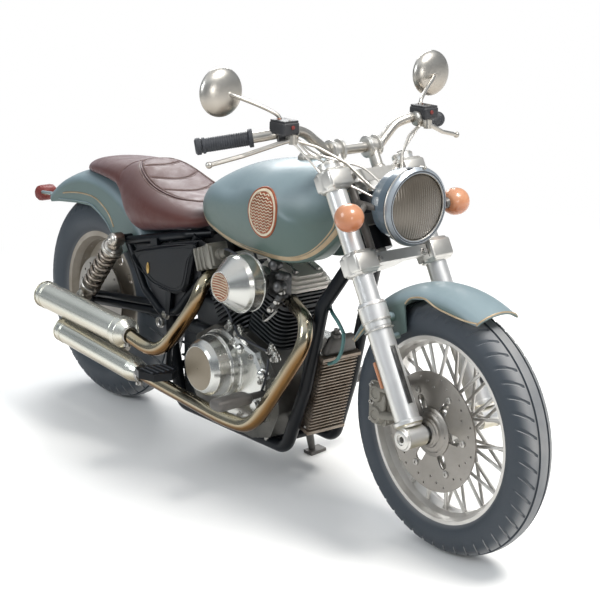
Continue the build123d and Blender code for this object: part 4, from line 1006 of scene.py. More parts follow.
bright, gasket, glass, collars, heads, signals = benches(6)
bright.ring(LAMP + AHEAD * 3, AHEAD, 88.5, 2.2, sides=10)
bright.ring(LAMP - AHEAD * 9, AHEAD, 102.2, 1.8)
bright.block(LAMP + Vector((-2, 18, 101)), (16, 9, 5), round_r=1.5)
bright.bolt(LAMP + Vector((7, 18, 101)), AHEAD, 6, 3, kind="dome")
gasket.ring(LAMP + AHEAD * 4.4, AHEAD, 92.0, 2.3)
gasket.ring(LAMP - AHEAD * 14.5, AHEAD, 99.6, 1.6)
gasket.block(LAMP + Vector((-8, -22, 100.5)), (12, 13, 3), round_r=0.8)
for side in (-1, 1):
    bright.lathe(flip((1397, 146, 871), side), LEFT * side, [(0, 13), (5, 15), (9, 11)], 28)
    heads.lathe(flip(MIRROR, side), AHEAD, SHELL, 72, caps=False)
    heads.tube(smooth_line([flip(p, side) for p in STEM]), 5.2)
    heads.lathe(flip((1107, 357, 1165), side), (1, -side * 0.6, -0.3), STEM_END, 20)
    signals.lathe(flip(SIGNAL, side), LEFT * side, EGG, 64)
    glass.lathe(flip(MIRROR, side) - AHEAD * 0.4, AHEAD, [(0, 0.5), (-0.4, 30), (0, 57.4), (1.6, 57.4)], 64,
                caps=False)
    collars.lathe(flip((1186, 243, 1078), side), (-0.2, 0, 1), COLLAR, 24)
bright.make("lamp_brightwork", "steering", "chrome", "chrome_satin")
gasket.make("lamp_gaskets", "steering", "rubber", "rubber_black")
heads.make("mirror_heads", "steering", "chrome", "chrome_satin", sharp=50,
           stands_for=("mirror_left", "mirror_right"))
signals.make("signal_lenses", "steering", "amber", "lens_amber", sharp=50,
             stands_for=("turn_signal_left", "turn_signal_right"))
glass.make("mirror_glasses", "steering", "glass", "chrome_satin", sharp=0)
collars.make("mirror_collars", "steering", "copper", "chrome_satin")
print("lamp and mirrors done")

# %% [markdown]
# ## Fork, clamps and front brake
#
# The clamps are square-shouldered castings split at each leg and pinched by a bolt. Each leg ends in a
# screwed cap, and at the foot a lug holds the hollow axle under a ring nut. The brake caliper is a rough
# casting: two piston lobes, a bridge, mounting bolts and a bleed nipple under its cap.
# Dark strips in the clamp splits and on the front of the sliders are painted shadow.

# %% Castings and fasteners of the fork
FORK_AXES = (FORK_FWD, LEFT, FORK_UP)
CLAMPS = ((432, 492), (662, 718))               # each clamp's lower and upper face, up the leg
cheeks, shadow_strips, nuts, reflectors = benches(4)
for side in (-1, 1):
    y = side * FORK_Y
    for low, high in CLAMPS:
        mid, tall = (low + high) / 2, high - low
        cheeks.block(fork(mid, y, 5), (74, 75, tall - 8), FORK_AXES, 8)
        cheeks.block(fork(mid, y, 5), (66, 67, tall + 4), FORK_AXES, 9)
        # Painted shadow: a thin dark strip in the clamp's split.
        shadow_strips.block(fork(mid - 1, side * 91, 25.5), (3, 1.8, tall - 26), FORK_AXES, 0.4)
        nuts.bolt(fork(mid - 1, side * 77, 24), FORK_FWD, 13, 8)
    cheeks.lathe(fork(730, y), FORK_UP, [(0, 29), (6, 29), (9, 26), (10, 20)], 40)
    nuts.bolt(fork(740, y), FORK_UP, 22, 7, washer=False)
    for way in (-1, 1):
        outward = FORK_FWD * way + LEFT * side * 0.4
        nuts.bolt(fork(66, y + side * 20, way * 13.2), outward, 9, 5, kind="socket")
    cheeks.lathe((WHEELBASE, side * 158, FRONT_AXLE.z), LEFT * side,
                 [(0, 29), (3, 30), (6, 26), (10, 25), (12, 22), (12, 14), (4, 13)], 48, caps=False)
    for s in (285, 309, 349):
        cheeks.lathe(fork(s, y), FORK_UP, [(-2, 37), (-1, 39.3), (1, 39.3), (2, 37)], 48, caps=False)
    # Painted shadow: a dark strip down the front of the slider.
    shadow_strips.block(fork(157, y, 33.5), (1.5, 12, 150), FORK_AXES, 0.5)
    reflectors.block(fork(176, side * 134, -37), (9, 30, 70), FORK_AXES, 3)
cheeks.make("fork_castings", "steering", "clamp", "clamp_silver")
shadow_strips.make("fork_shadow_lines", "steering", "dark_steel", "stand_grey")
nuts.make("fork_bolts", "steering", "steel", "chrome_satin")
reflectors.make("fork_reflectors", "steering", "amber", "lens_amber")
print("fork castings points:", len(cheeks.points))

# %% Front brake
CALIPER_Z = 372
PISTON_LOBE = ((0, 29), (8, 28), (13, 24), (19, 21), (20, 14), (17, 12))
BLEED_NIPPLE = ((0, 6), (8, 6), (8, 3), (16, 3), (18, 5), (24, 4))
caliper, nipples = benches(2)
for dz in (-29, 29):
    caliper.lathe((1430, -92, CALIPER_Z + dz), RIGHT, PISTON_LOBE, 36)
caliper.block((1440, -94, CALIPER_Z), (46, 20, 64), round_r=7)
caliper.block((1462, -66, CALIPER_Z), (12, 58, 96), round_r=5)
for dz in (-46, 0, 46):
    nipples.bolt((1404, -98, CALIPER_Z + dz), RIGHT, 10, 6, kind="socket")
nipples.lathe((1438, -84, CALIPER_Z + 56), (0.2, 0, 1), BLEED_NIPPLE, 14)
caliper.make("caliper_lobes", "steering", "cast", "cast_alloy")
nipples.make("caliper_bolts", "steering", "steel", "chrome_satin")
print("fork done")

# %% [markdown]
# ## Handlebar controls
#
# Rubber grips are ribbed so a wet glove doesn't slip. The black boxes hold the switches under screwed
# lids, and the levers pivot in polished perches clamped round the bar. Cables leave the perches in easy
# curves and meet at the steering head.

# %% Bar and controls
HALF_BAR = ((1190, 0, 1000), (1190, 56, 1000), (1190, 86, 1001), (1184, 122, 1027), (1181, 156, 1052),
            (1187, 202, 1065), (1171, 257, 1058), (1149, 285, 1051), (1108, 350, 1039), (1067, 414, 1027))
GRIP_FOOT, BAR_END = Vector(HALF_BAR[-3]), Vector(HALF_BAR[-1])
GRIP_RIBS, RIB_STEP = 17, 6
half_bar = smooth_line(HALF_BAR)
bar, ribs, perches, boxes, red_keys, sheaths = benches(6)
bar.tube([flip(p, -1) for p in half_bar[:0:-1]] + half_bar, 14, 24)
for side in (-1, 1):
    run = flip((BAR_END - GRIP_FOOT).normalized(), side)
    for n in range(GRIP_RIBS):
        ribs.lathe(flip(GRIP_FOOT, side) + run * (28 + n * RIB_STEP), run,
                   [(0, 17.6), (0.8, 18.9), (2.6, 18.9), (3.4, 17.6)], 28, caps=False)
    perches.block(flip((1214, 230, 1054), side), (30, 26, 24), round_r=5)
    perches.bolt(flip((1226, 232, 1062), side), UP, 11, 4, kind="dome")
    perches.lathe(flip((1202, 206, 1063), side), LEFT * side, [(0, 17), (2, 20), (16, 20), (18, 17)], 32)
    boxes.block(flip((1200, 240, 1096), side), (60, 46, 5), round_r=1.6)
    boxes.block(flip((1168, 240, 1076), side), (6, 30, 18), round_r=2)
    for x in (1178, 1222):
        perches.bolt(flip((x, 240, 1098.4), side), UP, 6, 2.4, kind="socket", washer=False)
    red_keys.lathe(flip((1232, 238, 1082), side), AHEAD, [(0, 5.5), (3, 5.5), (4, 4)], 16)
SHEATHS = (((1212, -216, 1050), (1222, -170, 1004), (1254, -104, 966), (1290, -60, 936), (1345, -40, 912)),
           ((1208, -206, 1046), (1212, -150, 1006), (1240, -92, 984), (1284, -44, 966), (1340, -26, 930)),
           ((1216, -224, 1042), (1232, -180, 990), (1262, -150, 948), (1300, -96, 926), (1345, -58, 900)),
           ((1210, 218, 1046), (1226, 158, 1000), (1258, 84, 960), (1296, 44, 930), (1345, 30, 912)))
for route in SHEATHS:
    sheaths.tube(smooth_line(route, 10), 3.0, 8)
    sheaths.lathe(route[0], Vector(route[1]) - Vector(route[0]), [(-8, 4.6), (10, 4.6), (14, 3.2)], 12)
bar.make("handlebar_tube", "steering", "chrome", "chrome_satin", sharp=60, stands_for=("handlebar",))
ribs.make("grip_ribs", "steering", "rubber", "rubber_black")
perches.make("lever_perches", "steering", "chrome", "chrome_satin")
boxes.make("switch_lids", "steering", "plastic", "plastic_black")
red_keys.make("stop_buttons", "steering", "red", "lens_red")
sheaths.make("cable_sheaths", "steering", "rim", "chrome_satin")
print("controls done")

# %% [markdown]
# ## Fender edges
#
# A pressed fender is stiffened by rolling its edge round a wire. The rolled edge follows the cut of the
# sheet, and on the front fender it is lined in tan. A raised bead, also tan, runs along each side of the
# rear fender. All of them are laid on the plain fender's own skin.

# %% Rolled edges and beads
# The front fender's cut edge, in two stretches: (degrees from straight up forward, distance from the axle)
FRONT_CUTS = (((25, 355), (18, 339), (8, 331), (2, 333), (-6, 347), (-14, 346), (-18, 334)),
              ((-43, 333), (-51, 338), (-61, 345)))
# The rear fender's cut edge and its bead, in the side view: (x, z)
REAR_EDGE = ((-196, 640), (-152, 645), (-69, 654), (3, 657), (50, 642), (95, 618), (126, 591), (150, 560),
             (174, 530))
REAR_BEAD = ((-168, 664), (-121, 674), (-50, 683), (28, 682), (84, 662), (119, 638), (143, 606))
front_skin, rear_skin = skin_of(nodes["front_fender"].data), skin_of(nodes["rear_fender"].data)
front_edge, rear_edge, rear_bead = benches(3)


def roll(bench, spots, r):
    """A rolled edge along dropped points, where enough of them met the sheet."""
    if len(spots) > 3:
        bench.tube(spots, r, 8)


for side in (-1, 1):
    for cut in FRONT_CUTS:
        line = smooth_line([dial(FRONT_AXLE, *p) for p in cut])
        roll(front_edge, [s for s, _ in drop(front_skin, line, RIGHT * side, 0.8)], 2.3)
    edge, bead = (smooth_line([Vector((x, 0, z)) for x, z in line], steps)
                  for line, steps in ((REAR_EDGE, 8), (REAR_BEAD, 10)))
    roll(rear_edge, [s for s, _ in drop(rear_skin, edge, RIGHT * side, 0.8)], 2.6)
    strip(rear_bead, rear_skin, bead, RIGHT * side, 6, 2.2)
for skin, axle, angle, reach, bench in ((front_skin, FRONT_AXLE, 25.4, 70, front_edge),
                                        (rear_skin, REAR_AXLE, -41, 92, rear_edge),
                                        (front_skin, FRONT_AXLE, -61.4, 70, front_edge)):
    inward = -dial(Vector(), angle, 1)
    spots = [lay(skin, dial(axle, angle, 480, y), inward, 0.6)[0] for y in np.linspace(-reach, reach, 41)]
    roll(bench, [s for s in spots if s is not None], 2.4)
front_edge.make("front_fender_edge", "steering", "tan", "paint_green")
rear_edge.make("rear_fender_edge", "frame", "green", "paint_green")
rear_bead.make("rear_fender_bead", "frame", "tan", "paint_green")
print("edges done")

# %% [markdown]
# ## Wheels
#
# Every spoke of a wire wheel ends in a nipple, a long nut that pulls it tight from inside the rim. A
# bright sleeve thickens each spoke between its ends. The disc is held by buttons and hub bolts round a
# stepped boss, and the tyre valve stands on the rim between two spokes. The rear wheel is a pressing with
# a ring of domed bolts.

# %% Nipples, bolts and valve
SPOKES, RIM_R, HUB_R, LACING = 40, 227, 46, 38  # lacing: degrees a spoke leads or trails round the hub
DISC_Y = -62.5
BUTTON = ((0, 9), (2.5, 9), (3.5, 7), (3.5, 4), (1, 3.5))
VALVE = ((0, 6), (6, 6), (8, 3.4), (30, 3.4), (30, 4.6), (40, 4.4))
BOSS = ((0, 64), (3, 64), (5, 61), (7, 54), (11, 51), (13, 47), (14, 39), (18, 37), (20, 33), (24, 31),
        (26, 28))
fittings, disc_bolts, sleeves, boss, rear_bolts = benches(5)
for n in range(SPOKES):
    side, pair = (-1 if n % 2 else 1), n // 2
    turn = pair * 720 / SPOKES + side * 2.2
    rim_end = dial(FRONT_AXLE, turn, RIM_R, side * 8)
    hub_end = dial(FRONT_AXLE, turn + (LACING if pair % 2 else -LACING), HUB_R, side * 40)
    run = (hub_end - rim_end).normalized()
    fittings.lathe(rim_end - run * 6, run, [(0, 6.5), (5, 6.5), (7, 4.4), (22, 3.8), (25, 2.6)], 10)
    fittings.lathe(hub_end, -run, [(-6, 4.2), (2, 4.2), (6, 2.8)], 8)
    sleeves.tube([rim_end, hub_end], 4.7, 10)
for turn in range(30, 390, 60):
    disc_bolts.bolt(dial(FRONT_AXLE, turn, 50, DISC_Y), RIGHT, 10, 6)
    fittings.lathe(dial(FRONT_AXLE, turn, 113, DISC_Y), RIGHT, BUTTON, 20)
fittings.lathe(FRONT_AXLE + Vector((0, -6, -221)), UP, VALVE, 12)
boss.lathe(FRONT_AXLE + RIGHT * 62, RIGHT, BOSS, 72, caps=False)
for turn in range(0, 360, 20):
    rear_bolts.bolt(dial(REAR_AXLE, turn, 190, -22), RIGHT, 9, 5, kind="dome")
for turn in range(0, 360, 72):
    rear_bolts.bolt(dial(REAR_AXLE, turn, 52, -66), RIGHT, 10, 5)
    rear_bolts.bolt(dial(REAR_AXLE, turn, 62, 72), LEFT, 11, 6)
boss.make("front_hub_boss", "front_wheel", "disc", "rim_silver")
sleeves.make("front_spoke_sleeves", "front_wheel", "rim", "rim_silver")
fittings.make("front_wheel_fittings", "front_wheel", "steel", "chrome_satin")
disc_bolts.make("front_disc_bolts", "front_wheel", "dark_steel", "chrome_satin")
rear_bolts.make("rear_wheel_bolts", "rear_wheel", "steel", "chrome_satin")
print("wheels done")

# %% [markdown]
# ## Engine details
#
# A V-twin wears its fasteners in the open. The stepped rocker covers are held by hexagon bolts at their
# corners, the side cases by socket screws round their rims. On the right the round air cleaner hides the
# carburettor, a lump of small castings, knobs and brass, and carries an oval insert of cream ribs on
# copper. The clutch cover ends in a flat tan face.

# %% Rocker covers and cylinders
CRANK, BANKS = Vector((850, 0, 290)), (18, -34)         # degrees each cylinder leans from straight up
screws, trim, dark = benches(3)
for bank in BANKS:
    rise, along_bank = dial(Vector(), bank, 1), dial(Vector(), bank + 90, 1)
    for u in (-38, 38):
        for v in (-40, 40):
            screws.bolt(CRANK + rise * 364 + along_bank * u + LEFT * v, rise, 13, 8)
    for v in (-1, 1):
        trim.block(CRANK + rise * 367 + LEFT * v * 31.9, (88, 5, 4), (along_bank, LEFT, rise), 1.5)
        for u in (-60, -20, 20, 60):
            screws.bolt(CRANK + rise * 329 + along_bank * u + LEFT * 81 * v, LEFT * v, 8, 4, kind="socket")
        plug, plug_way = CRANK + rise * 292 + LEFT * 70 * v, LEFT * v + rise * 0.2
        dark.lathe(plug, plug_way, [(0, 12), (10, 12), (12, 9), (34, 8), (38, 10), (48, 9), (50, 5)], 18)
        screws.lathe(plug, plug_way, [(2, 14), (8, 14), (9, 12)], 6)
    dark.lathe(CRANK + rise * 108, rise, [(0, 84), (8, 86), (16, 84)], 40, caps=False)
print("bolt points so far:", len(screws.points))

# %% Clutch cover and cases
CLUTCH, PRIMARY = Vector((797, -112, 329)), Vector((800, 186, 284))
RIGHT_SCREWS = ((962, 216), (984, 322), (938, 384), (852, 410), (772, 404), (812, 190), (888, 200))
LEFT_SCREWS = ((654, 214), (704, 184), (800, 184), (896, 184), (976, 236), (976, 324), (914, 382), (806, 384),
               (706, 378), (652, 322))
PLUG = ((0, 13), (10, 13), (12, 10), (20, 10), (21, 6), (28, 6))
trim.ring(CLUTCH + RIGHT * 36, RIGHT, 100.5, 2.6)
trim.ring(CLUTCH + RIGHT * 64, RIGHT, 91.5, 1.5)
for n in range(9):
    screws.bolt(dial(CLUTCH, 78 - n * 40, 97, -34.5), RIGHT, 8, 5, kind="socket")
tan_face = Bench()
tan_face.lathe(CLUTCH + RIGHT * 117.6, RIGHT, [(0, 64), (0.8, 63.4), (1.2, 60), (1.2, 1)], 72, caps=False)
for x, z in RIGHT_SCREWS:
    screws.bolt((x, -146, z), RIGHT, 12, 7, kind="socket")
for x, z in LEFT_SCREWS:
    screws.bolt((x, 185, z), LEFT, 10, 6, kind="socket")
for x in (690, 760, 830, 900, 960):
    screws.bolt((x, -104, 140), (0, -1, -0.2), 10, 5)
for x, z in ((790, 446), (836, 440), (988, 420), (1008, 402)):
    trim.lathe((x, -108, z - 16), (0.1, -0.3, 1), PLUG, 18)
    screws.bolt((x, -122, z - 12), RIGHT, 12, 6)
trim.lathe((1000, -146, 352), (0.5, -1, 0.1), [(0, 15), (12, 15), (14, 11), (26, 11), (28, 8)], 24)
trim.lathe((966, -146, 250), RIGHT, [(0, 20), (9, 19), (14, 14), (14, 6)], 30)
trim.lathe(PRIMARY, LEFT, [(0, 74), (6, 73), (9, 68), (9, 60), (12, 56), (13, 2)], 60)
trim.lathe((930, 186, 300), LEFT, [(0, 34), (5, 33), (7, 28), (8, 2)], 44)
for n in range(6):
    screws.bolt(dial(PRIMARY, 90 - n * 60, 66, 8), LEFT, 8, 4, kind="dome")
tan_face.make("clutch_face", "frame", "tan_face", "case_silver")
print("cases done")

# %% Air cleaner
AIR, INSERT_R, RIB_GAP = Vector((936, -96, 603)), 32.5, 7.4
FACE = AIR + RIGHT * 157
for out, r, thick in ((62, 81.4, 1.8), (97, 80.6, 1.5), (155.4, 41.5, 1.7)):
    trim.ring(AIR + RIGHT * out, RIGHT, r, thick, 96 if r > 50 else 72)
insert, insert_ribs, insert_rim = benches(3)
insert.lathe(AIR + RIGHT * 155.6, RIGHT, [(0, 40), (0.8, 39.6), (1.0, 36), (1.0, 0.5)], 72, caps=False)
insert_rim.ring(FACE, RIGHT, 36.5, 1.3, 72)
for n in range(-4, 5):
    reach = sqrt(max(0, INSERT_R ** 2 - (n * RIB_GAP) ** 2))
    if reach > 6:
        insert_ribs.tube([FACE + Vector((t * reach, 0, n * RIB_GAP + 2.4 * (1 - t * t)))
                          for t in np.linspace(-1, 1, 17)], 1.8, 6)
insert.make("air_insert", "frame", "copper", "case_silver")
insert_rim.make("air_insert_rim", "frame", "cream", "case_silver")
insert_ribs.make("air_insert_ribs", "frame", "cream", "case_silver")
print("air cleaner rib points:", len(insert_ribs.points))

# %% Carburettor
KNOBS = ((1010, -128, 660, 17), (1030, -120, 632, 15), (1034, -132, 604, 17), (1030, -122, 572, 14),
         (1012, -126, 548, 13), (986, -120, 530, 11))           # x, y, z, radius
KNOB = ((0, 0.7), (16, 0.8), (18, 1), (26, 1), (32, 0.85), (37, 0.5))
carb, brass = benches(2)
carb.block((1000, -92, 600), (56, 44, 70), round_r=9)
for x, y, z, r in KNOBS:
    carb.lathe((x, y + 24, z), (0.25, -1, 0.12), [(s, r * k) for s, k in KNOB] + [(38, 1)], 22)
for spot in ((1040, -116, 590), (1026, -124, 562), (1006, -130, 536), (1000, -126, 676)):
    brass.bolt(spot, (0.4, -1, -0.1), 12, 9)
brass.tube(smooth_line(((1016, -116, 532), (1000, -134, 508), (978, -132, 498), (960, -118, 510)), 6), 4, 8)
carb.make("carburettor", "frame", "dark_steel", "engine_black")
brass.make("carburettor_brass", "frame", "steel", "chrome_satin")
print("carburettor points:", len(carb.points))

# %% Finned box and gearbox
BOX = Vector((712, -122, 626))
BOX_RUN, BOX_RISE = Vector((0.94, 0, 0.34)), Vector((-0.34, 0, 0.94))
BOX_AXES = (BOX_RUN, LEFT, BOX_RISE)
finned, gearbox = benches(2)
finned.block(BOX, (96, 58, 60), BOX_AXES, 4)
for n in range(4):
    finned.block(BOX + BOX_RUN * (-36 + n * 20), (8, 66, 67), BOX_AXES, 2.6)
finned.block(BOX + BOX_RUN * 34, (14, 70, 74), BOX_AXES, 3)
finned.lathe(BOX + BOX_RUN * 46, BOX_RUN, [(0, 18), (14, 18), (16, 13), (34, 12)], 24)
gearbox.block((552, 0, 262), (112, 156, 236), round_r=14)
gearbox.block((640, 0, 432), (150, 150, 84), round_r=12)
for z in range(190, 351, 40):
    gearbox.block((552, 0, z), (118, 162, 6))
finned.make("finned_box", "frame", "cast", "cast_alloy")
gearbox.make("gearbox_housing", "frame", "engine", "engine_black")
print("finned box points:", len(finned.points))

# %% Leads, hoses and the cooler's head
LEADS = (((760, -118, 655), (800, -126, 664), (850, -116, 650), (886, -100, 620)),
         ((770, -112, 640), (812, -118, 636), (850, -110, 610), (870, -84, 590)),
         ((940, -122, 582), (930, -118, 640), (880, -96, 672), (800, -70, 676)),
         ((700, -118, 532), (740, -126, 520), (790, -120, 480), (806, -116, 450)),
         ((830, -124, 446), (868, -138, 430), (930, -142, 424), (990, -130, 412)),
         ((1006, -136, 392), (1018, -150, 360), (1006, -152, 320), (990, -146, 300)),
         ((1000, -60, 200), (1050, -70, 230), (1090, -66, 300), (1104, -52, 350)))
HOSES = (((1126, -14, 552), (1160, -44, 562), (1196, -64, 556), (1224, -68, 540), (1250, -70, 516)),
         ((1250, -70, 516), (1250, -70, 488), (1240, -70, 456), (1220, -68, 430), (1176, -58, 408)))
COOLER = Vector((1078, 0, 195))                         # the foot of its core
COOLER_UP = Vector((67, 0, 240)).normalized()
COOLER_OUT = Vector((COOLER_UP.z, 0, -COOLER_UP.x))
leads, hoses, head = benches(3)
for route in LEADS:
    leads.tube(smooth_line(route), 3.6, 8)
for route in HOSES:
    hoses.tube(smooth_line(route, 10), 5.2, 10)
for high in (2, 240):
    for y in (-58, 58):
        screws.bolt(COOLER + COOLER_UP * high + LEFT * y, COOLER_UP, 9, 5)
head.block(COOLER + COOLER_UP * 266 + COOLER_OUT * 2, (30, 118, 58), (COOLER_OUT, LEFT, COOLER_UP), 13, 0.74)
head.lathe(COOLER + COOLER_UP * 292 + RIGHT * 20, COOLER_UP, [(0, 14), (10, 14), (12, 9), (22, 8)], 20)
leads.make("engine_leads", "frame", "rubber", "rubber_black")
hoses.make("cooler_hoses", "frame", "teal", "rubber_black")
head.make("cooler_head", "frame", "stand", "cooler_alloy")
screws.make("engine_screws", "frame", "steel", "chrome_satin")
trim.make("engine_trim", "frame", "case", "case_silver")
dark.make("engine_dark_parts", "frame", "rubber", "rubber_black")
print("engine done")

# %% [markdown]
# ## Exhaust, frame and rear end
#
# Each header is one bent pipe clamped to its silencer, and the silencers end in rolled bands round dark
# open tips. The space under the seat is closed by dark panels behind the side covers. A cover has a
# raised edge and a bare gold oval. The rear end gets its pinch bolts, axle adjusters, a toothed belt on
# the left, ribbed rubbers on the rear pegs and thick plain pads on the front ones.

# %% Exhaust
# name, the solid it stands for, the bends' corners, how far before a corner its bend begins
HEADERS = (("front_header_pipe", "exhaust_header_front",
            ((970, -40, 548), (1080, -92, 548), (1164, -130, 542), (1186, -152, 478), (1104, -170, 350),
             (1002, -188, 201), (900, -200, 195), (470, -208, 226)), 86),
           ("rear_header_pipe", "exhaust_header_rear",
            ((690, -40, 580), (738, -168, 570), (730, -190, 500), (592, -200, 342), (520, -208, 310),
             (425, -224, 338)), 64))
HEADER_R = 21
# Silencers: open tip, clamp end, radius, length
UPPER = (Vector((-84, -224, 358.6)), Vector((428, -224, 340)), 43, 512)
LOWER = (Vector((14, -216, 261.4)), Vector((470, -208, 226)), 39, 457)


def swept(points, ease):
    """A line whose corners are eased into curves that begin ease mm before each corner."""
    p = [Vector(q) for q in points]
    out = [p[0]]
    for a, b, c in zip(p, p[1:], p[2:]):
        ease_in, ease_out = min(ease, (b - a).length * 0.48), min(ease, (c - b).length * 0.48)
        first, last = b - (b - a).normalized() * ease_in, b + (c - b).normalized() * ease_out
        out += [first * (1 - t) ** 2 + b * 2 * t * (1 - t) + last * t * t for t in np.linspace(0, 1, 11)]
    return out + [p[-1]]


for name, node, route, ease in HEADERS:
    header = Bench().tube(swept(route, ease), HEADER_R, 28)
    header.make(name, "frame", "exhaust", "exhaust_chrome", sharp=60, stands_for=(node,))
pipes, tips, clamps = benches(3)
for tip, end, r, length in (UPPER, LOWER):
    way = (end - tip).normalized()
    for s, grow in ((6, 0.6), (34, 0.9), (40, 0.2)):
        pipes.ring(tip + way * s, way, r - 0.9 + grow, 1.5, 72)
    pipes.ring(tip, way, r - 11, 2.0, 64)
    tips.lathe(tip, way, [(1, r - 13.4), (38, r - 13.6), (39, 2)], 48, caps=False)
    clamp = tip + way * (length - 6)
    clamps.lathe(clamp, way, [(-12, 25.5), (-11, 27), (11, 27), (12, 25.5)], 48, caps=False)
    clamps.block(clamp + Vector((0, -4, -30)), (20, 12, 14), round_r=3)
    clamps.bolt(clamp + Vector((0, -10, -31)), RIGHT, 10, 6)
tip, end = UPPER[:2]
way = (end - tip).normalized()
pipes.ring(tip + way * 462, way, 46.6, 1.4, 72)
pipes.ring(tip + way * 488, way, 46.4, 1.6, 72)
pipes.make("silencer_bands", "frame", "silencer", "silencer_chrome")
tips.make("silencer_bores", "frame", "engine", "engine_black")
clamps.make("exhaust_clamps", "frame", "steel", "chrome_satin")
print("exhaust done")

# %% Dark panels, covers and their edges
PANEL = ((286, 580), (440, 612), (640, 660), (676, 652), (640, 560), (600, 470), (545, 424), (486, 396),
         (430, 402), (372, 456), (322, 520))
COVER = ((320, 566), (636, 650), (619, 602), (594, 524), (571, 500), (529, 486), (459, 488), (398, 499))
OVAL = Vector((397, 0, 530))
OVAL_RISE = ((1, 0), (0.97, 1.6), (0.85, 2.6), (0.5, 3.6), (0.06, 3.9))     # part of the size, proud
panels, edges, jewels, rings = benches(4)
for side in (-1, 1):
    panels.grid([[Vector((x, side * y, z)) for x, z in PANEL] for y in (106, 110)], closed_columns=True,
                caps=True)
    edge = smooth_line([Vector((x, side * 136.4, z)) for x, z in COVER], 6, closed=True)
    middle = sum(edge, Vector()) / len(edge)
    edges.tube(edge, 2.2, 8, closed=True)
    edges.tube([middle + (p - middle) * 0.86 for p in edge], 1.0, 6, closed=True)
    jewels.grid([circle(OVAL + LEFT * side * (136.6 + proud), AHEAD * 7.5, UP * 18, k, 40)
                 for k, proud in OVAL_RISE], closed_columns=True)
    rings.ring((439, side * 124, 366), LEFT, 15, 2.6, 48)
    rings.lathe((439, side * 116, 366), LEFT * side, [(0, 17), (6, 17), (7, 13), (5, 10)], 40, caps=False)
panels.make("under_seat_panels", "frame", "plastic", "paint_black")
edges.make("cover_edges", "frame", "black", "paint_black")
jewels.make("cover_ovals", "frame", "gold", "case_silver", sharp=0)
rings.make("frame_rings", "frame", "steel", "chrome_satin")
print("covers done")

# %% Shocks, swingarm and pegs
PEG_WAY, PEG_FOOT = Vector((-12, -190, -10)).normalized(), Vector((990, -110, 290))
PAD = (52, 118, 32)
shock_caps, nuts, rubbers, pads = benches(4)
for side in (-1, 1):
    out = LEFT * side
    top, foot = Vector((248, side * 150, 594)), Vector((46, side * 150, 372))
    way = (top - foot).normalized()
    shock_caps.lathe(top + out * 12, out, [(0, 21), (4, 22), (10, 20), (15, 14), (17, 6)], 36)
    shock_caps.lathe(foot + out * 12, out, [(0, 18), (4, 19), (9, 17), (12, 10)], 32)
    shock_caps.lathe(top - way * 46, way, [(-8, 33), (-6, 34.5), (0, 34.5), (2, 32), (10, 26), (12, 22)], 44)
    shock_caps.lathe(foot + way * 52, way, [(0, 33), (2, 34), (10, 34), (12, 32)], 44)
    nuts.bolt(top + out * 28, out, 16, 7, kind="dome")
    nuts.bolt(foot + out * 23, out, 15, 7)
    nuts.bolt(REAR_AXLE + out * 132, out, 26, 12)
    nuts.tube([(-34, side * 104, 344), (-62, side * 104, 344)], 4, 8)
    nuts.bolt((-44, side * 104, 344), -AHEAD, 12, 6)
    nuts.bolt((470, side * 118, 398), out, 22, 9)
    for n in range(5):
        rubbers.block((654, side * (238 + n * 18), 300), (74 - abs(n - 2) * 6, 7, 5), round_r=1.5)
pads.block(PEG_FOOT + PEG_WAY * 136, PAD, (AHEAD, PEG_WAY, PEG_WAY.cross(AHEAD)), 13)
pads.block((972, 246, 272), PAD, round_r=13)
shock_caps.make("shock_caps", "frame", "chrome", "spring_bronze")
nuts.make("rear_nuts", "frame", "steel", "chrome_satin")
pads.make("front_peg_pads", "frame", "stand", "stand_grey")
rubbers.make("peg_rubbers", "frame", "rubber", "rubber_black")
print("rear nuts points:", len(nuts.points))

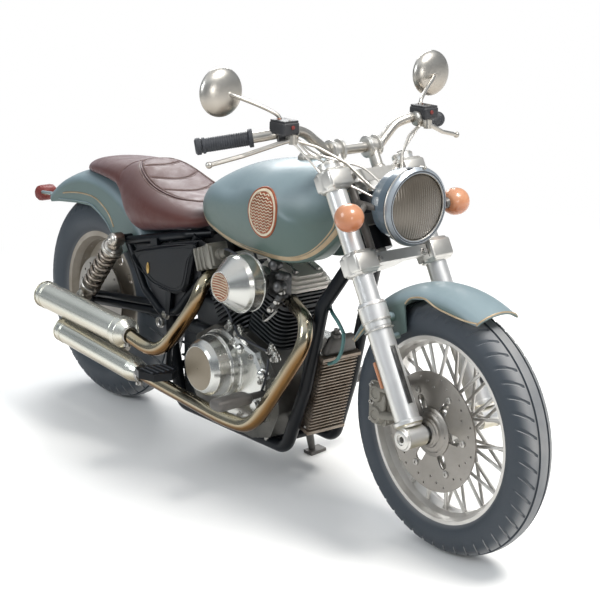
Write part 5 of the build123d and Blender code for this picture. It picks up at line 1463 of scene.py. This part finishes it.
# %% Belt
PULLEY_R, SPROCKET_R, TOOTH = 106.5, 44, 9              # the last is half a tooth's pitch
SPROCKET = Vector((668, 0, 300))
loop = [dial(REAR_AXLE, 90 - d, PULLEY_R) for d in range(96, 268, 6)]
loop += [dial(SPROCKET, 90 - d, SPROCKET_R) for d in range(-92, 97, 9)]
dense = []
for p, q in zip(loop, loop[1:] + loop[:1]):
    count = max(1, int((q - p).length / TOOTH))
    dense += [p + (q - p) * k / count for k in range(count)]
rows = []
for i, p in enumerate(dense):
    out = (dense[(i + 1) % len(dense)] - dense[i - 1]).normalized().cross(LEFT)
    inner = -1.2 if i % 2 else -3
    rows.append([p + LEFT * y + out * s for y, s in ((80, 2), (90, 2), (90, inner), (80, inner))])
belt = Bench().grid(rows, closed_rows=True, closed_columns=True)
belt.make("drive_belt", "frame", "rubber", "rubber_black")
print("belt teeth:", len(dense) // 2)

# %% Tail lamp and fuel cap
LENS, LENS_HALF = Vector((-451, 0, 608)), (31, 37, 25)  # the middle, and half of length, width and height
CAP, CAP_TEETH = Vector((1010, 0, 957)), 24


def squared(value, power):
    """A sine or cosine pushed outward, so that a circle drawn with it gets fuller corners."""
    return abs(value) ** power * (1 if value > 0 else -1)


def lens_spot(turn, rise):
    """A point of the bean-shaped lens: turn round it, rise from its foot at -90 to its top at 90 degrees."""
    slim = abs(cos(rise)) ** 0.62
    return LENS + Vector((LENS_HALF[0] * squared(cos(turn), 0.72) * slim,
                          LENS_HALF[1] * squared(sin(turn), 0.72) * slim, LENS_HALF[2] * sin(rise)))


lens, sockets, cap = benches(3)
lens.grid([[lens_spot(2 * pi * k / 72, radians(d)) for k in range(72)] for d in range(-90, 91, 6)],
          closed_columns=True)
for side in (-1, 1):
    sockets.tube([(-424, side * 20, 612), (-400, side * 28, 617)], [9, 6.6], 16)
cap.lathe(CAP, UP, [(0, 29), (2, 30), (5, 27), (6, 12), (6, 1)], 48, caps=False)
for n in range(CAP_TEETH):
    a = 2 * pi * n / CAP_TEETH
    out, round_way = Vector((cos(a), sin(a), 0)), Vector((-sin(a), cos(a), 0))
    cap.block(CAP - UP * 9 + out * 34, (3, 3, 11), (out, round_way, UP), 1)
lens.make("tail_lamp_lens", "frame", "red", "lens_red", sharp=0)
sockets.make("tail_lamp_sockets", "frame", "copper", "chrome_satin")
cap.make("tank_cap_top", "frame", "chrome", "chrome_satin")
print("rear done")
